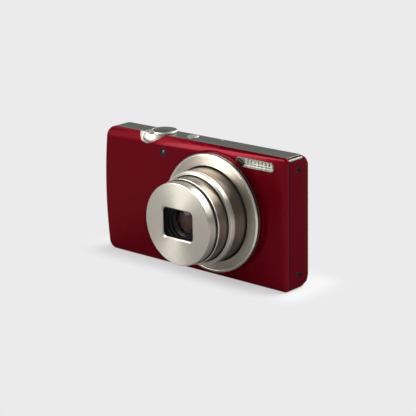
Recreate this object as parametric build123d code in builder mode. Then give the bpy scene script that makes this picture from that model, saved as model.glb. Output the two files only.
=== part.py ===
from build123d import *
from math import radians, sqrt, tan
import os

# Compact digital camera in millimetres. +X is to the right seen from the front, -Y is the front
# and +Z is up. The origin is the centre of the body's base. Depths run back from the front face.

os.makedirs("parts", exist_ok=True)

# Body shell
width = 95.2
height = 52.0
depth = 17.2
front = -depth / 2
left = -width / 2
right = width / 2
wall = 0.9
seam = 0.1
play = 0.15
front_cover_depth = 1.8
front_edge_radius = 1.5
back_edge_radius = 1.0
top_left_radius = 5.0
bottom_left_radius = 3.8
right_radius = 1.8
end_bulge_low = 1.4
end_bulge_high = 2.2
end_bulge_z = height / 2 - 3.0
taper_start = 9.8
side_taper = 4.2
top_taper = 5.0
bottom_taper = 3.4
back_curve = ((4.2, 0.5, 1.6, 0.8), (1.7, 1.9, 3.3, 1.8))
bevel_depth = 1.6
bevel_drop_left = 3.75
bevel_drop_right = 0.5
front_margin_side = 2.0
front_margin_top = 6.0
plate_thickness = 1.4

# Lens
lens_x = right - 34.3
lens_z = height / 2 + 0.2
slide_gap = 0.3
bezel_radius = 0.45 * height
bezel_height = 4.2
bezel_bevel = 0.8
bezel_slope = 0.3
base_ring_radius = bezel_radius + 0.6
base_ring_height = 0.5
shell_thickness = 0.9
barrel_1_radius = 0.35 * height
barrel_1_wall = 1.0
barrel_1_front = 12.6
barrel_1_length = 15.0
trim_length = 2.1
barrel_2_radius = barrel_1_radius - 1.6
barrel_2_wall = 0.95
barrel_2_front = 17.9
barrel_2_length = 13.0
barrel_2_mouth_depth = 4.0
mouth_gap = 0.2
front_barrel_radius = barrel_2_radius - 0.6
front_barrel_front = 22.5
front_barrel_length = 11.0
cap_length = 3.8
cap_edge_radius = 0.7
cap_face = 0.8
sleeve_gap = 0.25
sleeve_wall = 1.0
opening_width = 0.95 * front_barrel_radius
opening_height = 0.6875 * front_barrel_radius
opening_corner = 1.5
blade_thickness = 0.3
blade_gap = 0.2
blade_overlap = 0.3
blade_pivot_radius = front_barrel_radius - 2.8
blade_eye_radius = 0.95
blade_arm_width = 2.0
blade_rim_gap = 0.2
blade_pin_radius = 0.4
blade_split_angle = 25.0
blade_pivot_angle = -5.0
blade_swing = 28.0
lens_ring_thickness = 1.3
lens_ring_lip = 0.8
lens_cell_wall = 1.2
lens_cell_length = 1.4
lens_cell_taper = 0.2
ring_steps = ((3.2, 0), (2.5, 0.7), (2.0, 0.7), (1.6, 1.6), (1.1, 1.6), (0.7, 2.7), (0.3, 2.7))
blade_pin_seat = 0.5
front_lens_radius = 5.0
front_lens_depth = 5.4
front_lens_thickness = 2.2
front_lens_dome = 0.8
rear_lens_radius = 3.6
rear_lens_dome = 0.5
shutter_thickness = 1.6
shutter_inset = 0.3
housing_wall = 1.9
housing_back_face = depth - 6.2
housing_back_thickness = 1.0
housing_flange = 0.9
housing_flange_thickness = 0.8
focus_frame_radius = 8.5
focus_lens_radius = 4.2
focus_thickness = 1.2
focus_front_hollow = 0.4
focus_back_hollow = 0.2
focus_end_gap = 0.3
focus_rod_end = 0.2
focus_travel = 0.6
focus_rod_offset = 7.0
focus_rod_radius = 0.5
running_gap = 0.05
sensor_width = 8.0
sensor_height = 6.4
sensor_board_thickness = 0.5

# Flash and lamp on the front
flash_x = right - 15.1
flash_z = height - 4.25
flash_length = 18.2
flash_height = 3.7
flash_corner = 1.3
flash_round = 0.98
reflector_inset = 0.5
reflector_edge = 0.1
reflector_depth = 4.4
reflector_wall = 0.6
flash_tube_radius = 0.6
flash_tube_room = 0.2
capacitor_rim = 0.6
lamp_x = lens_x - 27.5
lamp_z = height - 6.8
lamp_radius = 1.75
lamp_dome = 0.25
led_radius = 1.2
led_length = 3.0

# Top controls
shutter_x = left + 29.2
shutter_depth = 5.5
shutter_radius = 4.55
shutter_height = 1.3
shutter_crown = 0.35
shutter_stem_radius = 2.0
shutter_travel = 0.5
lever_inner_radius = 4.8
lever_outer_radius = 5.7
lever_height = 0.8
lever_tab_width = 3.6
lever_tab_reach = 6.7
lever_tab_angle = 14.0
lever_tab_corner = 1.2
lever_edge = 0.35
scoop_left = shutter_x - 8.0
scoop_right = shutter_x + 4.5
scoop_side = 1.6
scoop_drop = 4.0
scoop_low_x = shutter_x - 4.2
scoop_corner = 1.28
scoop_slope_front = 0.3
scoop_slope_back = 2.6
scoop_depth = 3.1
power_x = left + 43.6
power_depth = 6.5
power_radius = 2.6
power_height = 0.35
power_edge = 0.2
mic_x = lens_x - 4.2
mic_depth = 8.9
mic_radius = 0.6
mic_stand = 0.05
stem_end = 0.1
top_board_thickness = 0.5

# Back
window_left = left + 32.1
window_right = right - 6.1
window_low = 4.0
window_high = height - 5.6
window_corner = 1.0
panel_margin = 0.5
button_stand = 0.3
button_edge = 0.25
button_flange = 0.5
button_flange_thickness = 0.5
movie_button = (left + 26.0, height - 11.6, 2.6)
playback_button = (left + 25.0, height / 2 + 5.0, 2.0)
auto_button = (left + 9.6, height / 2 + 5.0, 2.0)
menu_button = (left + 9.6, 9.0, 2.0)
ring_x = left + 17.2
ring_z = height / 2 - 6.0
ring_radius = 7.2
ring_thickness = 2.0
set_radius = 3.2
indicator_x = left + 29.6
indicator_z = height - 6.8
indicator_radius = 0.7
indicator_stand = 0.1
indicator_foot = 0.3
thumb_x = left + 12.6
thumb_z = height - 11.4
thumb_width = 12.0
thumb_height = 7.0
thumb_corner = 3.0
thumb_recess = 0.4
thumb_stand = 0.35
thumb_edge = 0.3

# Bottom and ends
tripod_x = right - 13.6
tripod_depth = 5.4
tripod_bore_radius = 2.55
tripod_bore_length = 5.5
tripod_radius = 3.3
tripod_block = (9.6, 6.4, 4.7)
door_front = 3.0
door_thickness = 1.7
door_pin_radius = 0.4
door_slide = 2.0
door_knuckle_left = left + 3.2
door_pin_inset = 0.9
sleeve_left = left + 12.6
flap_front = 2.9
flap_back = 9.2
flap_low = height / 2 - 4.5
flap_high = height / 2 + 8.5
flap_thickness = 1.1
flap_room = 0.5
flap_front_gap = 0.2
flap_inset = 0.05
flap_knuckle_radius = 0.7
strap_front = 4.5
strap_back = 8.8
strap_low = 10.5
strap_high = 17.0
strap_pocket_depth = 3.2
strap_wall = 0.5
strap_bar_radius = 0.75
strap_bar_inset = 0.2
strap_box_start = 0.75
screw_head_radius = 1.15
screw_head_thickness = 0.5
screw_shank_radius = 0.7
screw_length = 3.4
screw_recess = 0.1
screw_slot = 0.28
screw_slot_length = 1.725
screw_post = 1.6
screw_post_front = 1.4
side_screw_depth = 7.4
side_screw_zs = (5.9, height - 5.4)
bottom_screw_xs = (lens_x - 5.3, right - 4.6)
bottom_screw_depth = 5.0

# Inside
chassis_gap = 0.1
chassis_band = 0.8
chassis_plate_face = 8.9
chassis_clearance = 0.3
battery_left = left + 4.1
battery_low = 3.0
battery_height = height - 11.8
battery_thickness = depth - 12.0
battery_face = 6.6
battery_corner = 0.8
holder_wall = 0.6
holder_gap = 0.2
contact_height = 0.6
contact_width = 1.6
contact_pitch = 4.0
contact_margin = 1.0
card_height = 32.0
card_thickness = 2.1
card_low = 2.6
card_face = 3.5
card_notch = 4.0
socket_gap = 0.15
socket_wall = 0.3
socket_low = 6.0
latch_travel = 1.4
latch_room = 0.3
latch_depth = 0.6
latch_thickness = 0.9
latch_height = 6.0
latch_width = 3.0
latch_hook = 1.2
usb_width = 7.7
usb_thickness = 3.6
usb_length = 5.2
usb_wall = 0.35
usb_z = (flap_low + flap_high) / 2
usb_mouth = 0.8
usb_tongue_side = 1.2
usb_tongue_face = 1.5
usb_face = 2.35
capacitor_x = right - 6.6
capacitor_radius = 3.6
capacitor_low = 12.0
capacitor_length = height - 24.0
motor_z = height - 6.1
motor_radius = 3.2
motor_length = 6.4
motor_gap = 0.3
motor_shaft_radius = 0.8
motor_shaft_length = 0.5
board_face = depth - 3.9
board_thickness = 0.8
board_left = left + 6.1
board_right = right - 5.6
board_low = 4.6
board_high = height - 6.0
connector = (8.0, 0.6, 7.0)
connector_places = ((-12.0, 10.0), (14.0, 12.0))
board_corner = 3.0
speaker_x = left + 11.6
speaker_length = 2.5
speaker_room = 0.5
top_board_front = 0.7
top_board_end = 1.5

plate_low = height - plate_thickness
back_wall_face = depth - wall


def at(y):
    """Drawing plane that faces the front, y behind the front face."""
    return Plane.XZ.offset(-(front + y))


def across(x):
    """Drawing plane across the body at x: first the depth, then the height."""
    return Plane(origin=(x, front, 0), x_dir=(0, 1, 0), z_dir=(1, 0, 0))


def box_between(x, y, z, mode=Mode.ADD):
    """Box between two values of x, of depth and of height."""
    centre = (sum(x) / 2, front + sum(y) / 2, sum(z) / 2)
    with Locations(centre):
        Box(x[1] - x[0], y[1] - y[0], z[1] - z[0], mode=mode)


def rod_back(x, z, radius, y, mode=Mode.ADD):
    """Cylinder that runs from front to back between two depths."""
    with Locations((x, front + sum(y) / 2, z)):
        Cylinder(radius, y[1] - y[0], rotation=(90, 0, 0), mode=mode)


def rod_up(x, y, radius, z, mode=Mode.ADD):
    """Cylinder that stands upright between two heights."""
    with Locations((x, front + y, sum(z) / 2)):
        Cylinder(radius, z[1] - z[0], mode=mode)


def rod_along(x, y, z, radius, mode=Mode.ADD):
    """Cylinder that lies along the body between two values of x."""
    with Locations((sum(x) / 2, front + y, z)):
        Cylinder(radius, x[1] - x[0], rotation=(0, 90, 0), mode=mode)


def outline(side, top, bottom, tighter):
    """The body seen from the front, drawn in at the ends, the top and the bottom, with tighter corners."""
    half = width / 2 - side
    low_left = (-half + end_bulge_low, bottom)
    high_left = (-half + end_bulge_high, height - top)
    with BuildSketch() as face:
        with BuildLine():
            ThreePointArc(low_left, (-half, end_bulge_z), high_left)
            Polyline(high_left, (half, height - top), (half, bottom), low_left)
        make_face()
        smallest = 0.3
        fillet(face.vertices().sort_by(Axis.X)[-2:], max(right_radius - tighter, smallest))
        fillet(face.vertices().sort_by_distance(high_left)[0], max(top_left_radius - tighter, smallest))
        fillet(face.vertices().sort_by_distance(low_left)[0], max(bottom_left_radius - tighter, smallest))
    return face.sketch


def body_block(margin):
    """The whole body drawn in by a margin: straight sides, then a back that curves in by steps."""
    straight = outline(margin, margin, margin, margin)
    small = outline(margin + side_taper, margin + top_taper, margin + bottom_taper, margin)
    with BuildPart() as block:
        with BuildSketch(at(margin)):
            add(straight)
        extrude(amount=margin - taper_start)
        with BuildSketch(at(taper_start)):
            add(straight)
        for from_back, side, top, bottom in back_curve:
            with BuildSketch(at(depth - from_back)):
                add(outline(margin + side, margin + top, margin + bottom, margin))
        with BuildSketch(at(depth - margin)):
            add(small)
        loft(ruled=True)
        if margin == 0:
            fillet(block.faces().sort_by(Axis.Y)[0].edges(), front_edge_radius)
            fillet(block.faces().sort_by(Axis.Y)[-1].edges(), back_edge_radius)
    return block.part


def flash_shape(grow):
    """The flash window seen from the front: one end fully round, the other with small corners."""
    half = flash_length / 2 + grow
    with BuildSketch() as shape:
        with Locations((flash_x, flash_z)):
            Rectangle(2 * half, flash_height + 2 * grow)
        fillet(shape.vertices().sort_by(Axis.X)[:2], (flash_height / 2 + grow) * flash_round)
        fillet(shape.vertices().sort_by(Axis.X)[-2:], flash_corner + grow)
    return shape.sketch


def scoop_shape(grow):
    """The finger scoop seen from the front: a short side, a round bottom and a long rising edge."""
    low = (scoop_low_x, height - scoop_drop)
    side = (scoop_left, height - scoop_side)
    with BuildSketch() as shape:
        with BuildLine():
            Polyline(side, (scoop_left, height + 1), (scoop_right + 2, height + 1),
                     (scoop_right, height), low)
            RadiusArc(low, side, scoop_drop)
        make_face()
        fillet(shape.vertices().sort_by_distance(low)[0], scoop_corner)
        if grow:
            offset(amount=grow)
    return shape.sketch


def blade_shape():
    """One barrier blade when shut: half the opening, split along a slanted line, and its arm."""
    pivot = Vector(blade_pivot_radius, 0).rotate(Axis.Z, blade_pivot_angle)
    half_width = opening_width / 2 + blade_overlap
    half_height = opening_height / 2 + blade_overlap
    arm_x = half_width + seam
    arm_z = arm_x * tan(radians(blade_split_angle)) + seam
    with BuildSketch() as blade:
        Rectangle(2 * half_width, 2 * half_height)
        with Locations(Rotation(0, 0, blade_split_angle)):
            Rectangle(4 * half_width, 4 * half_width, align=(Align.CENTER, Align.MIN), mode=Mode.INTERSECT)
        with BuildLine():
            Polyline((half_width - blade_arm_width, half_height), (pivot.X, pivot.Y + blade_eye_radius),
                     (pivot.X - blade_eye_radius, pivot.Y), (arm_x, arm_z), close=True)
        make_face()
        with Locations(pivot):
            Circle(blade_eye_radius)
    return blade.sketch, pivot


lens_plane = Plane(origin=(lens_x, front, lens_z), x_dir=(1, 0, 0), z_dir=(0, 0, 1))
lens_axis = Axis((lens_x, front, lens_z), (0, 1, 0))
outer_body = body_block(0)
cavity = body_block(wall)
housing_inner = barrel_1_radius + slide_gap
housing_outer = housing_inner + housing_wall
housing_front = -bezel_height + shell_thickness + bezel_slope
cover_hole_radius = housing_outer + slide_gap
window_x = (window_left + window_right) / 2
window_z = (window_low + window_high) / 2
window_width = window_right - window_left
window_height = window_high - window_low
ring_hole_radius = ring_radius + play
battery_right = lens_x - housing_outer - housing_flange - holder_wall - holder_gap - seam
battery_width = battery_right - battery_left
battery_x = (battery_left + battery_right) / 2
battery_back = battery_face + battery_thickness
battery_high = battery_low + battery_height
card_width = battery_width - 10.6
card_x = battery_x - 1.3
door_right = battery_right + 0.4
door_back = battery_back + holder_gap
sleeve_right = door_right - 9.5
push_buttons = {
    "movie_button": movie_button,
    "playback_button": playback_button,
    "auto_button": auto_button,
    "menu_button": menu_button,
}

# Front cover: a face plate with a rim, open to the back, with a slanted bevel along its top edge
with BuildPart() as front_cover:
    add(outer_body)
    box_between((-width, width), (front_cover_depth, depth + 1), (-1, height + 1), Mode.SUBTRACT)
    with BuildSketch(at(wall)):
        add(outline(front_margin_side, front_margin_top, front_margin_side, front_margin_side))
    extrude(amount=wall - front_cover_depth, mode=Mode.SUBTRACT)
    for x, drop in ((left - 1, bevel_drop_left), (right + 1, bevel_drop_right)):
        with BuildSketch(across(x)):
            with BuildLine():
                Polyline((0, height - drop), (bevel_depth, height), (bevel_depth, height + 1),
                         (-1, height + 1), (-1, height - drop), close=True)
            make_face()
    loft(ruled=True, mode=Mode.SUBTRACT)
    rod_back(lens_x, lens_z, cover_hole_radius, (-1, front_cover_depth + 1), Mode.SUBTRACT)
    rod_back(lamp_x, lamp_z, lamp_radius, (-1, front_cover_depth + 1), Mode.SUBTRACT)
    with BuildSketch(at(-1)):
        add(flash_shape(seam))
    extrude(amount=-(front_cover_depth + 2), mode=Mode.SUBTRACT)
    with BuildSketch(at(-1)):
        add(scoop_shape(seam))
    extrude(amount=-(front_cover_depth + 2), mode=Mode.SUBTRACT)
front_cover.part.label = "front_cover"
export_step(front_cover.part, "parts/front_cover.step")

# Finger scoop under the zoom lever's tab: its face leans back to the top
with BuildPart() as lever_scoop:
    with BuildSketch(at(0)):
        add(scoop_shape(0))
    extrude(amount=-scoop_depth)
    box_between((-width, width), (-1, depth), (height, height + 2), Mode.SUBTRACT)
    with BuildSketch(across(scoop_left - 1)):
        with BuildLine():
            Polyline((scoop_slope_front, height - scoop_drop), (scoop_slope_back, height),
                     (scoop_slope_back, height + 1), (-1, height + 1), (-1, 0),
                     (scoop_slope_front, 0), close=True)
        make_face()
    extrude(amount=scoop_right - scoop_left + 2, mode=Mode.SUBTRACT)
lever_scoop.part.label = "lever_scoop"
export_step(lever_scoop.part, "parts/lever_scoop.step")

# Top plate, with the scoop's notch and the holes of the small controls
with BuildPart() as top_cover:
    add(outer_body)
    box_between((-width, width), (-1, front_cover_depth + seam), (-1, height + 1), Mode.SUBTRACT)
    box_between((-width, width), (taper_start, depth + 1), (-1, height + 1), Mode.SUBTRACT)
    box_between((-width, width), (-1, depth + 1), (-1, plate_low), Mode.SUBTRACT)
    with BuildSketch(at(-1)):
        add(scoop_shape(seam))
    extrude(amount=-(scoop_depth + seam + 1), mode=Mode.SUBTRACT)
    rod_up(shutter_x, shutter_depth, shutter_stem_radius + play, (plate_low - 1, height + 1), Mode.SUBTRACT)
    rod_up(power_x, power_depth, power_radius + play, (plate_low - 1, height + 1), Mode.SUBTRACT)
    rod_up(mic_x, mic_depth, mic_radius, (plate_low - 1, height + 1), Mode.SUBTRACT)
top_cover.part.label = "top_cover"
export_step(top_cover.part, "parts/top_cover.step")

# Rear cover: back, side walls and bottom, with the openings of screen, buttons, door and flap
door_knuckle_radius = door_thickness / 2
pin_z = door_knuckle_radius
pin_depth = door_front + door_knuckle_radius
door_cut_top = door_thickness + play
with BuildPart() as rear_cover:
    add(outer_body)
    add(cavity, mode=Mode.SUBTRACT)
    box_between((-width, width), (-1, front_cover_depth + seam), (-1, height + 1), Mode.SUBTRACT)
    box_between((-width, width), (-1, taper_start + seam), (plate_low - seam, height + 1), Mode.SUBTRACT)
    with BuildSketch(at(back_wall_face - 1)):
        with Locations((window_x, window_z)):
            RectangleRounded(window_width + 2 * seam, window_height + 2 * seam, window_corner + seam)
    extrude(amount=-(wall + 2), mode=Mode.SUBTRACT)
    for x, z, radius in push_buttons.values():
        rod_back(x, z, radius + play, (back_wall_face - 1, depth + 1), Mode.SUBTRACT)
    rod_back(ring_x, ring_z, ring_hole_radius, (back_wall_face - 1, depth + 1), Mode.SUBTRACT)
    rod_back(indicator_x, indicator_z, indicator_radius, (back_wall_face - 1, depth + 1), Mode.SUBTRACT)
    with BuildSketch(at(depth - thumb_recess)):
        with Locations((thumb_x, thumb_z)):
            RectangleRounded(thumb_width, thumb_height, thumb_corner)
    extrude(amount=-1, mode=Mode.SUBTRACT)
    box_between((-width, door_right + play), (door_front - play, door_back + play), (-1, door_cut_top),
                Mode.SUBTRACT)
    box_between((sleeve_left, sleeve_right), (door_front - play - 1, pin_depth), (0, pin_z))
    rod_along((sleeve_left, sleeve_right), pin_depth, pin_z, door_knuckle_radius)
    rod_along((sleeve_left - 1, sleeve_right + 1), pin_depth, pin_z, door_pin_radius + running_gap,
              Mode.SUBTRACT)
    box_between((-width, left + flap_thickness + flap_room), (flap_front - flap_front_gap, flap_back + play),
                (flap_low - play, flap_high + play), Mode.SUBTRACT)
    box_between((left + strap_box_start, left + strap_pocket_depth + strap_wall),
                (strap_front - strap_wall, strap_back + strap_wall),
                (strap_low - strap_wall, strap_high + strap_wall))
    box_between((-width, -width / 2 + strap_pocket_depth), (strap_front, strap_back), (strap_low, strap_high),
                Mode.SUBTRACT)
    rod_up(left + strap_bar_radius + strap_bar_inset, (strap_front + strap_back) / 2, strap_bar_radius,
           (strap_low - strap_wall, strap_high + strap_wall), Mode.SUBTRACT)
    rod_up(tripod_x, tripod_depth, tripod_radius, (-1, 2 * wall), Mode.SUBTRACT)
    for z in side_screw_zs:
        rod_along((right - 2 * wall, right + 1), side_screw_depth, z, screw_shank_radius, Mode.SUBTRACT)
        rod_along((right - screw_head_thickness - screw_recess, right + 1), side_screw_depth, z,
                  screw_head_radius + seam, Mode.SUBTRACT)
    for x in bottom_screw_xs:
        rod_up(x, bottom_screw_depth, screw_shank_radius, (-1, 2 * wall), Mode.SUBTRACT)
        rod_up(x, bottom_screw_depth, screw_head_radius + seam, (-1, screw_head_thickness + screw_recess),
               Mode.SUBTRACT)
rear_cover.part.label = "rear_cover"
export_step(rear_cover.part, "parts/rear_cover.step")


# Black seat and bright ring round the lens
with BuildPart() as bezel_base_ring:
    with BuildSketch(lens_plane):
        with BuildLine():
            Polyline((cover_hole_radius, 0), (base_ring_radius, 0), (base_ring_radius, -base_ring_height),
                     (cover_hole_radius, -base_ring_height), close=True)
        make_face()
    revolve(axis=lens_axis)
bezel_base_ring.part.label = "bezel_base_ring"
export_step(bezel_base_ring.part, "parts/bezel_base_ring.step")

bezel_shoulder = -bezel_height + bezel_slope + bezel_bevel
with BuildPart() as lens_bezel:
    with BuildSketch(lens_plane):
        with BuildLine():
            Polyline((bezel_radius, -base_ring_height), (bezel_radius, bezel_shoulder),
                     (bezel_radius - bezel_bevel, -bezel_height + bezel_slope),
                     (housing_inner, -bezel_height), (housing_inner, housing_front),
                     (bezel_radius - shell_thickness, housing_front),
                     (bezel_radius - shell_thickness, -base_ring_height), close=True)
        make_face()
    revolve(axis=lens_axis)
lens_bezel.part.label = "lens_bezel"
export_step(lens_bezel.part, "parts/lens_bezel.step")

# Fixed housing that the barrels slide in; its back carries the image sensor
housing_back = housing_back_face + housing_back_thickness
chassis_plate_back = chassis_plate_face + chassis_band
with BuildPart() as lens_housing:
    with BuildSketch(lens_plane):
        with BuildLine():
            Polyline((0, housing_back_face), (housing_inner, housing_back_face),
                     (housing_inner, housing_front), (housing_outer, housing_front),
                     (housing_outer, chassis_plate_face - housing_flange_thickness),
                     (housing_outer + housing_flange, chassis_plate_face - housing_flange_thickness),
                     (housing_outer + housing_flange, chassis_plate_face),
                     (housing_outer, chassis_plate_face), (housing_outer, housing_back), (0, housing_back),
                     close=True)
        make_face()
    revolve(axis=lens_axis)
    box_between((lens_x - sensor_width / 2, lens_x + sensor_width / 2), (0, depth),
                (lens_z - sensor_height / 2, lens_z + sensor_height / 2), Mode.SUBTRACT)
    for x in (lens_x - focus_rod_offset, lens_x + focus_rod_offset):
        rod_back(x, lens_z, focus_rod_radius, (0, depth), Mode.SUBTRACT)
lens_housing.part.label = "lens_housing"
export_step(lens_housing.part, "parts/lens_housing.step")

with BuildPart() as image_sensor:
    box_between((lens_x - sensor_width / 2, lens_x + sensor_width / 2), (housing_back_face, housing_back),
                (lens_z - sensor_height / 2, lens_z + sensor_height / 2))
image_sensor.part.label = "image_sensor"
export_step(image_sensor.part, "parts/image_sensor.step")

sensor_board_back = housing_back + sensor_board_thickness
with BuildPart() as sensor_board:
    box_between((lens_x - sensor_width, lens_x + sensor_width), (housing_back, sensor_board_back),
                (lens_z - sensor_height, lens_z + sensor_height))
sensor_board.part.label = "sensor_board"
export_step(sensor_board.part, "parts/sensor_board.step")

# Focus group: a lens in a frame that slides on two rods in front of the sensor
focus_back = housing_back_face - focus_travel - focus_end_gap
focus_front = focus_back - focus_thickness
with BuildPart() as focus_rods:
    for x in (lens_x - focus_rod_offset, lens_x + focus_rod_offset):
        rod_back(x, lens_z, focus_rod_radius, (focus_front - focus_rod_end, housing_back))
focus_rods.part.label = "focus_rods"
export_step(focus_rods.part, "parts/focus_rods.step")

with BuildPart() as focus_lens:
    with BuildSketch(lens_plane):
        with BuildLine():
            Polyline((0, focus_front + focus_front_hollow), (focus_lens_radius, focus_front),
                     (focus_frame_radius, focus_front),
                     (focus_frame_radius, focus_back), (focus_lens_radius, focus_back),
                     (0, focus_back - focus_back_hollow), close=True)
        make_face()
    revolve(axis=lens_axis)
    for x in (lens_x - focus_rod_offset, lens_x + focus_rod_offset):
        rod_back(x, lens_z, focus_rod_radius + running_gap, (0, depth), Mode.SUBTRACT)
focus_lens.part.label = "focus_lens"
export_step(focus_lens.part, "parts/focus_lens.step")

# First barrel and its bright front ring
barrel_1_inner = barrel_1_radius - barrel_1_wall
trim_inner = barrel_2_radius + slide_gap
trim_back = trim_length - barrel_1_front
with BuildPart() as zoom_barrel_1:
    with BuildSketch(lens_plane):
        with BuildLine():
            Polyline((barrel_1_inner, trim_back), (barrel_1_radius, trim_back),
                     (barrel_1_radius, barrel_1_length - barrel_1_front),
                     (barrel_1_inner, barrel_1_length - barrel_1_front), close=True)
        make_face()
    revolve(axis=lens_axis)
zoom_barrel_1.part.label = "zoom_barrel_1"
export_step(zoom_barrel_1.part, "parts/zoom_barrel_1.step")

with BuildPart() as barrel_1_trim:
    with BuildSketch(lens_plane):
        with BuildLine():
            Polyline((trim_inner, trim_back), (barrel_1_radius, trim_back),
                     (barrel_1_radius, -barrel_1_front), (trim_inner, -barrel_1_front), close=True)
        make_face()
    revolve(axis=lens_axis)
barrel_1_trim.part.label = "barrel_1_trim"
export_step(barrel_1_trim.part, "parts/barrel_1_trim.step")

# Second barrel: its mouth takes the cap of the front barrel
barrel_2_inner = barrel_2_radius - barrel_2_wall
barrel_2_mouth = front_barrel_radius + mouth_gap
barrel_2_back = barrel_2_length - barrel_2_front
with BuildPart() as zoom_barrel_2:
    with BuildSketch(lens_plane):
        with BuildLine():
            Polyline((barrel_2_mouth, -barrel_2_front), (barrel_2_radius, -barrel_2_front),
                     (barrel_2_radius, barrel_2_back), (barrel_2_inner, barrel_2_back),
                     (barrel_2_inner, barrel_2_mouth_depth - barrel_2_front),
                     (barrel_2_mouth, barrel_2_mouth_depth - barrel_2_front), close=True)
        make_face()
    revolve(axis=lens_axis)
zoom_barrel_2.part.label = "zoom_barrel_2"
export_step(zoom_barrel_2.part, "parts/zoom_barrel_2.step")

# Front barrel: a cap with a rounded rim and the lens opening, and a sleeve that slides in barrel 2
sleeve_radius = barrel_2_inner - sleeve_gap
sleeve_inner = sleeve_radius - sleeve_wall
cap_back = cap_length - front_barrel_front
sleeve_back = front_barrel_length - front_barrel_front
with BuildPart() as front_barrel:
    with BuildSketch(lens_plane):
        with BuildLine():
            Polyline((0, -front_barrel_front), (front_barrel_radius, -front_barrel_front),
                     (front_barrel_radius, cap_back), (sleeve_radius, cap_back), (sleeve_radius, sleeve_back),
                     (sleeve_inner, sleeve_back), (sleeve_inner, cap_face - front_barrel_front),
                     (0, cap_face - front_barrel_front), close=True)
        make_face()
    revolve(axis=lens_axis)
    fillet(front_barrel.faces().sort_by(Axis.Y)[0].edges(), cap_edge_radius)
    with BuildSketch(at(-front_barrel_front - 1)):
        with Locations((lens_x, lens_z)):
            RectangleRounded(opening_width, opening_height, opening_corner)
    extrude(amount=-(cap_face + 2), mode=Mode.SUBTRACT)
front_barrel.part.label = "front_barrel"
export_step(front_barrel.part, "parts/front_barrel.step")

# Barrier blades behind the opening, drawn shut and then swung open about their pins
blade_face = cap_face - front_barrel_front + blade_gap
blade_back = blade_face + blade_thickness
lens_ring_face = blade_back + blade_gap
shut_blade, blade_pivot = blade_shape()
for name, turned in (("barrier_blade_upper", 0), ("barrier_blade_lower", 180)):
    open_blade = shut_blade.rotate(Axis((blade_pivot.X, blade_pivot.Y, 0), (0, 0, 1)), -blade_swing)
    open_blade = open_blade.rotate(Axis.Z, turned)
    with BuildPart() as blade:
        with BuildSketch(Plane(origin=(lens_x, front + blade_back, lens_z), x_dir=(1, 0, 0), z_dir=(0, -1, 0))):
            add(open_blade)
            Circle(sleeve_inner - blade_rim_gap, mode=Mode.INTERSECT)
            with Locations(blade_pivot.rotate(Axis.Z, turned)):
                Circle(blade_pin_radius + running_gap, mode=Mode.SUBTRACT)
        extrude(amount=blade_thickness)
    blade.part.label = name
    export_step(blade.part, "parts/" + name + ".step")

# Black stepped ring behind the blades, with the front lens in its bore and the blades' pins
lens_cell_back = lens_ring_face + front_lens_depth
lens_seat = lens_cell_back - front_lens_thickness
with BuildPart() as front_lens_ring:
    with BuildSketch(lens_plane):
        with BuildLine():
            steps = [(front_lens_radius + extra, lens_ring_face + step) for extra, step in ring_steps]
            Polyline((sleeve_inner, lens_ring_face), *steps, (front_lens_radius, lens_seat - seam),
                     (front_lens_radius, lens_cell_back),
                     (front_lens_radius + lens_cell_wall - lens_cell_taper, lens_cell_back),
                     (front_lens_radius + lens_cell_wall, lens_cell_back - lens_cell_length),
                     (steps[0][0] + lens_ring_lip, lens_ring_face + lens_ring_thickness),
                     (sleeve_inner, lens_ring_face + lens_ring_thickness), close=True)
        make_face()
    revolve(axis=lens_axis)
    for turned in (0, 180):
        pin = blade_pivot.rotate(Axis.Z, turned)
        rod_back(lens_x + pin.X, lens_z + pin.Y, blade_pin_radius,
                 (blade_face, lens_ring_face + blade_pin_seat))
front_lens_ring.part.label = "front_lens_ring"
export_step(front_lens_ring.part, "parts/front_lens_ring.step")

with BuildPart() as front_lens:
    with BuildSketch(lens_plane):
        with BuildLine():
            Line((0, lens_seat - front_lens_dome), (0, lens_seat + front_lens_thickness))
            Line((0, lens_seat + front_lens_thickness), (front_lens_radius, lens_seat + front_lens_thickness))
            Line((front_lens_radius, lens_seat + front_lens_thickness), (front_lens_radius, lens_seat))
            TangentArc((0, lens_seat - front_lens_dome), (front_lens_radius, lens_seat), tangent=(1, 0))
        make_face()
    revolve(axis=lens_axis)
front_lens.part.label = "front_lens"
export_step(front_lens.part, "parts/front_lens.step")

# Shutter and second lens group, fixed in the back of barrel 2
shutter_back = barrel_2_back - shutter_inset
shutter_face = shutter_back - shutter_thickness
with BuildPart() as shutter_unit:
    with BuildSketch(lens_plane):
        with BuildLine():
            Polyline((rear_lens_radius, shutter_face), (barrel_2_inner, shutter_face),
                     (barrel_2_inner, shutter_back), (rear_lens_radius, shutter_back), close=True)
        make_face()
    revolve(axis=lens_axis)
shutter_unit.part.label = "shutter_unit"
export_step(shutter_unit.part, "parts/shutter_unit.step")

with BuildPart() as rear_lens:
    with BuildSketch(lens_plane):
        with BuildLine():
            Line((0, shutter_face - rear_lens_dome), (0, shutter_back))
            Line((0, shutter_back), (rear_lens_radius, shutter_back))
            Line((rear_lens_radius, shutter_back), (rear_lens_radius, shutter_face))
            TangentArc((0, shutter_face - rear_lens_dome), (rear_lens_radius, shutter_face), tangent=(1, 0))
        make_face()
    revolve(axis=lens_axis)
rear_lens.part.label = "rear_lens"
export_step(rear_lens.part, "parts/rear_lens.step")


# Flash: window, trough-shaped reflector and the tube that lies across it
with BuildPart() as flash_window:
    with BuildSketch(at(0)):
        add(flash_shape(0))
    extrude(amount=-front_cover_depth)
flash_window.part.label = "flash_window"
export_step(flash_window.part, "parts/flash_window.step")

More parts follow.
